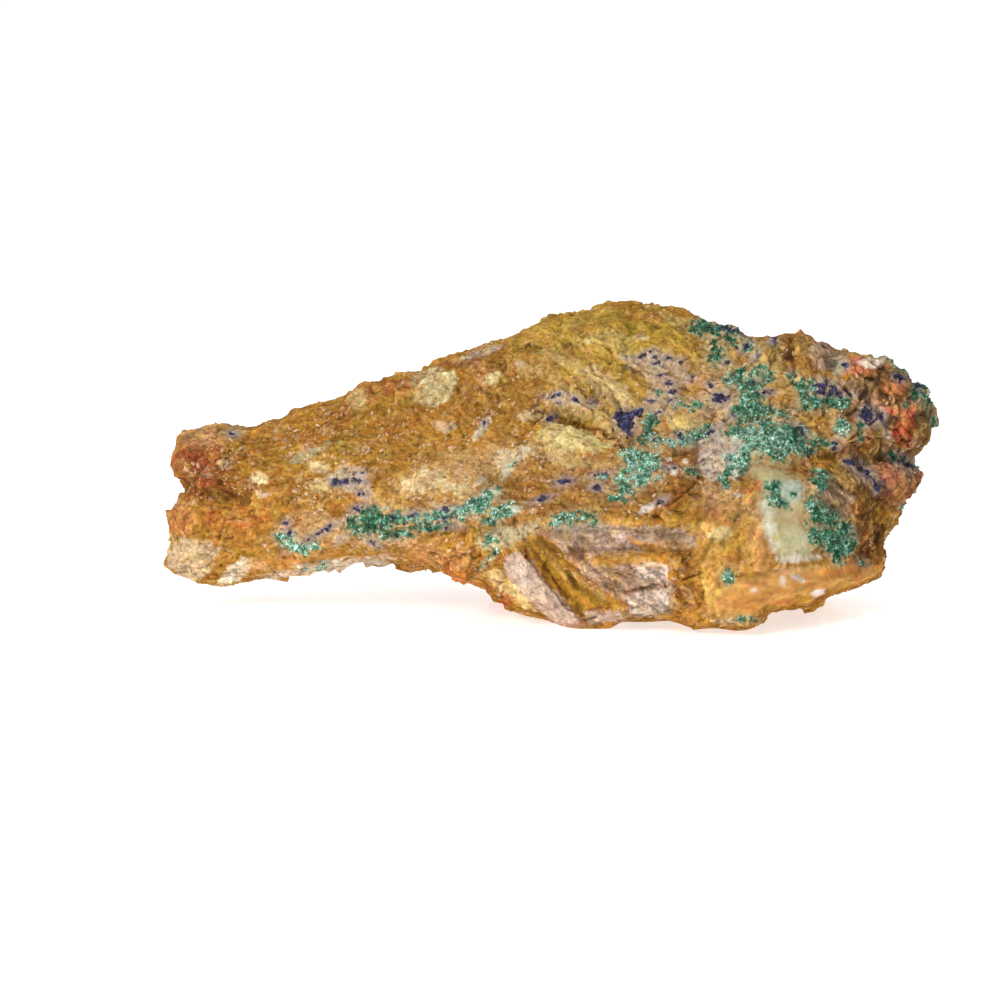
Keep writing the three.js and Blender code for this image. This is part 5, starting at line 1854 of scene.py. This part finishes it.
# How pale each crust is beside the others, from its freshness.
PALE = {
    "malachite_fan": 0.42, "malachite_vein_tip": 0.3, "malachite_vein_fork": 0.34,
    "malachite_ribbon": 0.16, "malachite_crust_band": 0.17, "malachite_knob": 0.16,
    "malachite_vein_ledge": 0.04, "malachite_drop": 0.12, "malachite_crust_crest": -0.1,
    "malachite_crust_flank": -0.04, "malachite_patch_under_arm": 0.2,
}


@dataclass
class Crystals:
    """All malachite, azurite and pale grains on the stone."""

    stone: Stone
    crusts: CrustMap
    tuft_gap: float = 0.32  # mm between malachite tufts
    block_gap: float = 0.4  # mm between azurite groups
    grain_gap: float = 0.525  # mm between the places where a pale grain may lie
    catch: float = 3.0  # mm from a crust within which a crystal still belongs to it
    lean: float = 0.35  # how far the crystals lean away from the surface's direction
    palest: float = 0.95
    grain: str = "#e2bc94"  # colour of the pale grains
    seed: int = 7

    def build(self) -> None:
        """Grows every crust, knot and grain on the refined stone."""
        rng = np.random.default_rng(self.seed)
        self.mineral(rng, Growing(Slot.AZURITE, self.crusts), Blocks().template(), AZURITE)
        self.mineral(rng, Growing(Slot.MALACHITE, self.crusts), Spray().template(), MALACHITE)
        self.grains(rng)

    def mineral(
        self, rng: np.random.Generator, growing: Growing, template: Template, finish: CrystalFinish,
    ) -> None:
        """Grows one mineral: a piece for each of its CAD crusts, and one for the small patches beside them.

        Args:
            rng: the source of chance.
            growing: where it grows.
            template: its tuft or group.
            finish: its finish.
        """
        green = growing.kind is Slot.MALACHITE
        roots = Roots.scatter(self.stone, rng, self.tuft_gap if green else self.block_gap)
        flat = FACE.flatten(roots.places)
        share = growing.share(roots.places, flat, FACE.unspread(flat))
        if green:
            blue = Growing(Slot.AZURITE, self.crusts)
            share *= 1.0 - blue.share(roots.places, flat, FACE.unspread(flat))
        keep = rng.uniform(size=len(share)) < share
        roots, flat = roots.some(keep), flat[keep]
        owner = self.crusts.look_up(self.crusts.widened(self.catch), flat)
        material = finish.material()
        shade = self.shades(rng, roots, FACE.unspread(flat))
        sizes = rng.uniform(0.5, 1.15, len(flat))
        placed = np.zeros(len(flat), bool)
        for number, name in enumerate(self.crusts.names):
            if not name.startswith(growing.kind.value):
                continue
            here = owner == number
            placed |= here
            pale = np.clip(shade[here] + PALE.get(name, 0.0), -1.0, self.palest)
            piece = roots.some(here).grow(
                name + "_growth", template, rng, sizes[here], self.lean, shade=pale,
            )
            dress(piece, material, growing.kind, name)
        rest = ~placed
        pale = np.clip(shade[rest], -1.0, self.palest)
        piece = roots.some(rest).grow(
            growing.kind.value + "_specks", template, rng, 0.85 * sizes[rest], self.lean, shade=pale,
        )
        dress(piece, material, growing.kind)

    def shades(self, rng: np.random.Generator, roots: Roots, place: np.ndarray) -> np.ndarray:
        """Picks each crystal's shade: most are deep, some pale as fresh mint and as painted glints; both
        kinds keep in groups.

        Args:
            rng: the source of chance.
            roots: where the crystals stand.
            place: the same as u, v, t.

        Returns:
            A shade for each, from nearly black at -1 to its palest at 1.
        """
        count = len(place)
        group = fractal(roots.places, 1.5, 2, 130, 0.8)
        mint = within(FRESH, place)
        # Pale crystals: fresh mint in the FRESH patches and in groups, and painted glints scattered at
        # random.
        fresh_and_glinting = rng.uniform(size=count) < 0.12 + 0.35 * smooth(0.0, 0.5, group) + 0.3 * mint
        shade = np.where(
            fresh_and_glinting, rng.uniform(0.35, 0.95, count), 0.9 * group - 0.25 + 0.3 * rng.normal(size=count),
        )
        return np.where(rng.uniform(size=count) < 0.7 * within(DEEP, place), shade - 0.8, shade)

    def grains(self, rng: np.random.Generator) -> None:
        """Sows small pale grains, some in swarms, over the rock.

        Args:
            rng: the source of chance.
        """
        roots = Roots.scatter(self.stone, rng, self.grain_gap)
        flat = FACE.flatten(roots.places)
        place = FACE.unspread(flat)
        swarm = self.stone.swarm(roots.places, place, np.ones(len(flat))) - 0.3
        for kind in BESIDE:
            swarm -= Growing(kind, self.crusts).share(roots.places, flat, place)
        keep = rng.uniform(size=len(swarm)) < 0.13 * np.clip(swarm, 0.0, 1.0)
        roots = roots.some(keep)
        count = len(roots.places)
        colours = np.empty(4 * len(self.stone.obj.data.vertices))
        self.stone.obj.data.attributes["stone_colour"].data.foreach_get("color", colours)
        ground = colours.reshape(-1, 4)[roots.corners, :3]
        share = rng.uniform(0.15, 0.9, count)[:, None]
        grain = ground * (1 - share) + np.array(linear(self.grain)[:3]) * share
        template = Blocks(crystals=1, size=0.8, sides=5, taper=0.6).template()
        flatter = Template(template.points * (1.5, 0.75, 0.45), template.triangles, template.tips)
        sizes = 0.42 + 1.0 * rng.uniform(size=count) ** 2
        bare = np.zeros(count)
        piece = roots.grow(
            "carbonate_grains", flatter, rng, sizes, 0.3, stone_colour=grain, speckle=bare,
            gritty=bare + 1.0,
        )
        dress(piece, bpy.data.materials[ROCK_MATERIAL], Slot.LIMONITE)


# ---------------------------------------------------------------- the studio


@dataclass(frozen=True)
class Lamp:
    """A square area light that points at the stone.

    Attributes:
        name: its name.
        place: where it stands, in metres.
        size: its width, in metres.
        power: in watts.
    """

    name: str
    place: tuple[float, float, float]
    size: float
    power: float


LAMPS = (Lamp("key_light", (-0.7, -0.75, 0.75), 0.4, 9.0), Lamp("top_light", (0.1, 0.1, 1.3), 1.2, 3.0))


@dataclass
class Studio:
    """A pale floor, soft light and the camera."""

    floor_size: float = 60.0  # m
    camera_distance: float = 0.65
    view_width: float = 0.232  # m across the view at the face
    aim_height: float = 0.03  # m above the floor, where the lamps point

    def build(self) -> None:
        """Sets up the floor, the lights and the camera."""
        self.camera()
        self.floor()
        self.surround()
        self.lights()
        bpy.context.scene.view_settings.view_transform = "Standard"

    def camera(self) -> None:
        """Points the camera square at the leaning face."""
        lens = bpy.data.cameras.new("camera")
        camera = bpy.data.objects.new("camera", lens)
        bpy.context.scene.collection.objects.link(camera)
        ends = np.array([[FACE.spread_u, FACE.spread_v, t] for t in (self.camera_distance / MM, 0.0)])
        eye, target = (Vector(end * MM) for end in FACE.raise_up(ends))
        camera.location = eye
        camera.rotation_euler = (target - eye).to_track_quat("-Z", "Y").to_euler()
        lens.sensor_width = 36.0
        lens.lens = lens.sensor_width * self.camera_distance / self.view_width
        bpy.context.scene.camera = camera

    def floor(self) -> None:
        """Adds the floor, a white light table."""
        deselect()
        bpy.ops.mesh.primitive_plane_add(size=self.floor_size, location=(0.0, 0.0, 0.0))
        floor = bpy.context.object
        floor.name = "floor"
        material = bpy.data.materials.new("white_acrylic")
        material.use_nodes = True
        shader = material.node_tree.nodes["Principled BSDF"]
        shader.inputs["Base Color"].default_value = linear("#f2f2f2")
        shader.inputs["Roughness"].default_value = 0.22
        shader.inputs["Specular IOR Level"].default_value = 0.25
        shader.inputs["Emission Color"].default_value = (1.0, 1.0, 1.0, 1.0)
        shader.inputs["Emission Strength"].default_value = 0.6
        floor.data.materials.append(material)

    def surround(self) -> None:
        """Adds a white surround that is brightest at the horizon."""
        world = bpy.data.worlds.new("surround")
        bpy.context.scene.world = world
        world.use_nodes = True
        tree = world.node_tree
        way = add_node(tree, "ShaderNodeTexCoord").outputs["Generated"]
        height = add_node(tree, "ShaderNodeSeparateXYZ", None, Vector=way).outputs["Z"]
        bright = add_node(
            tree, "ShaderNodeMapRange", None, Value=height, s1=0.02, s2=0.3, s3=1.05, s4=0.42,
        )
        tree.links.new(bright.outputs[0], tree.nodes["Background"].inputs["Strength"])
        tree.nodes["Background"].inputs["Color"].default_value = (1.0, 1.0, 1.0, 1.0)

    def lights(self) -> None:
        """Adds a soft key light from the upper left and a broad one from above."""
        for lamp in LAMPS:
            data = bpy.data.lights.new(lamp.name, "AREA")
            data.size = lamp.size
            data.energy = lamp.power
            light = bpy.data.objects.new(lamp.name, data)
            bpy.context.scene.collection.objects.link(light)
            light.location = lamp.place
            aim = Vector((0.0, 0.0, self.aim_height)) - Vector(lamp.place)
            light.rotation_euler = aim.to_track_quat("-Z", "Y").to_euler()


def main() -> None:
    """Builds the studio, the stone and its crystals."""
    logging.basicConfig(level=logging.INFO, format="%(name)s: %(message)s")
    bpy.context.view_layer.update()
    Studio().build()
    crusts = CrustMap()
    stone = Stone(crusts)
    stone.build()
    Crystals(stone, crusts).build()


if __name__ == "__main__":
    main()
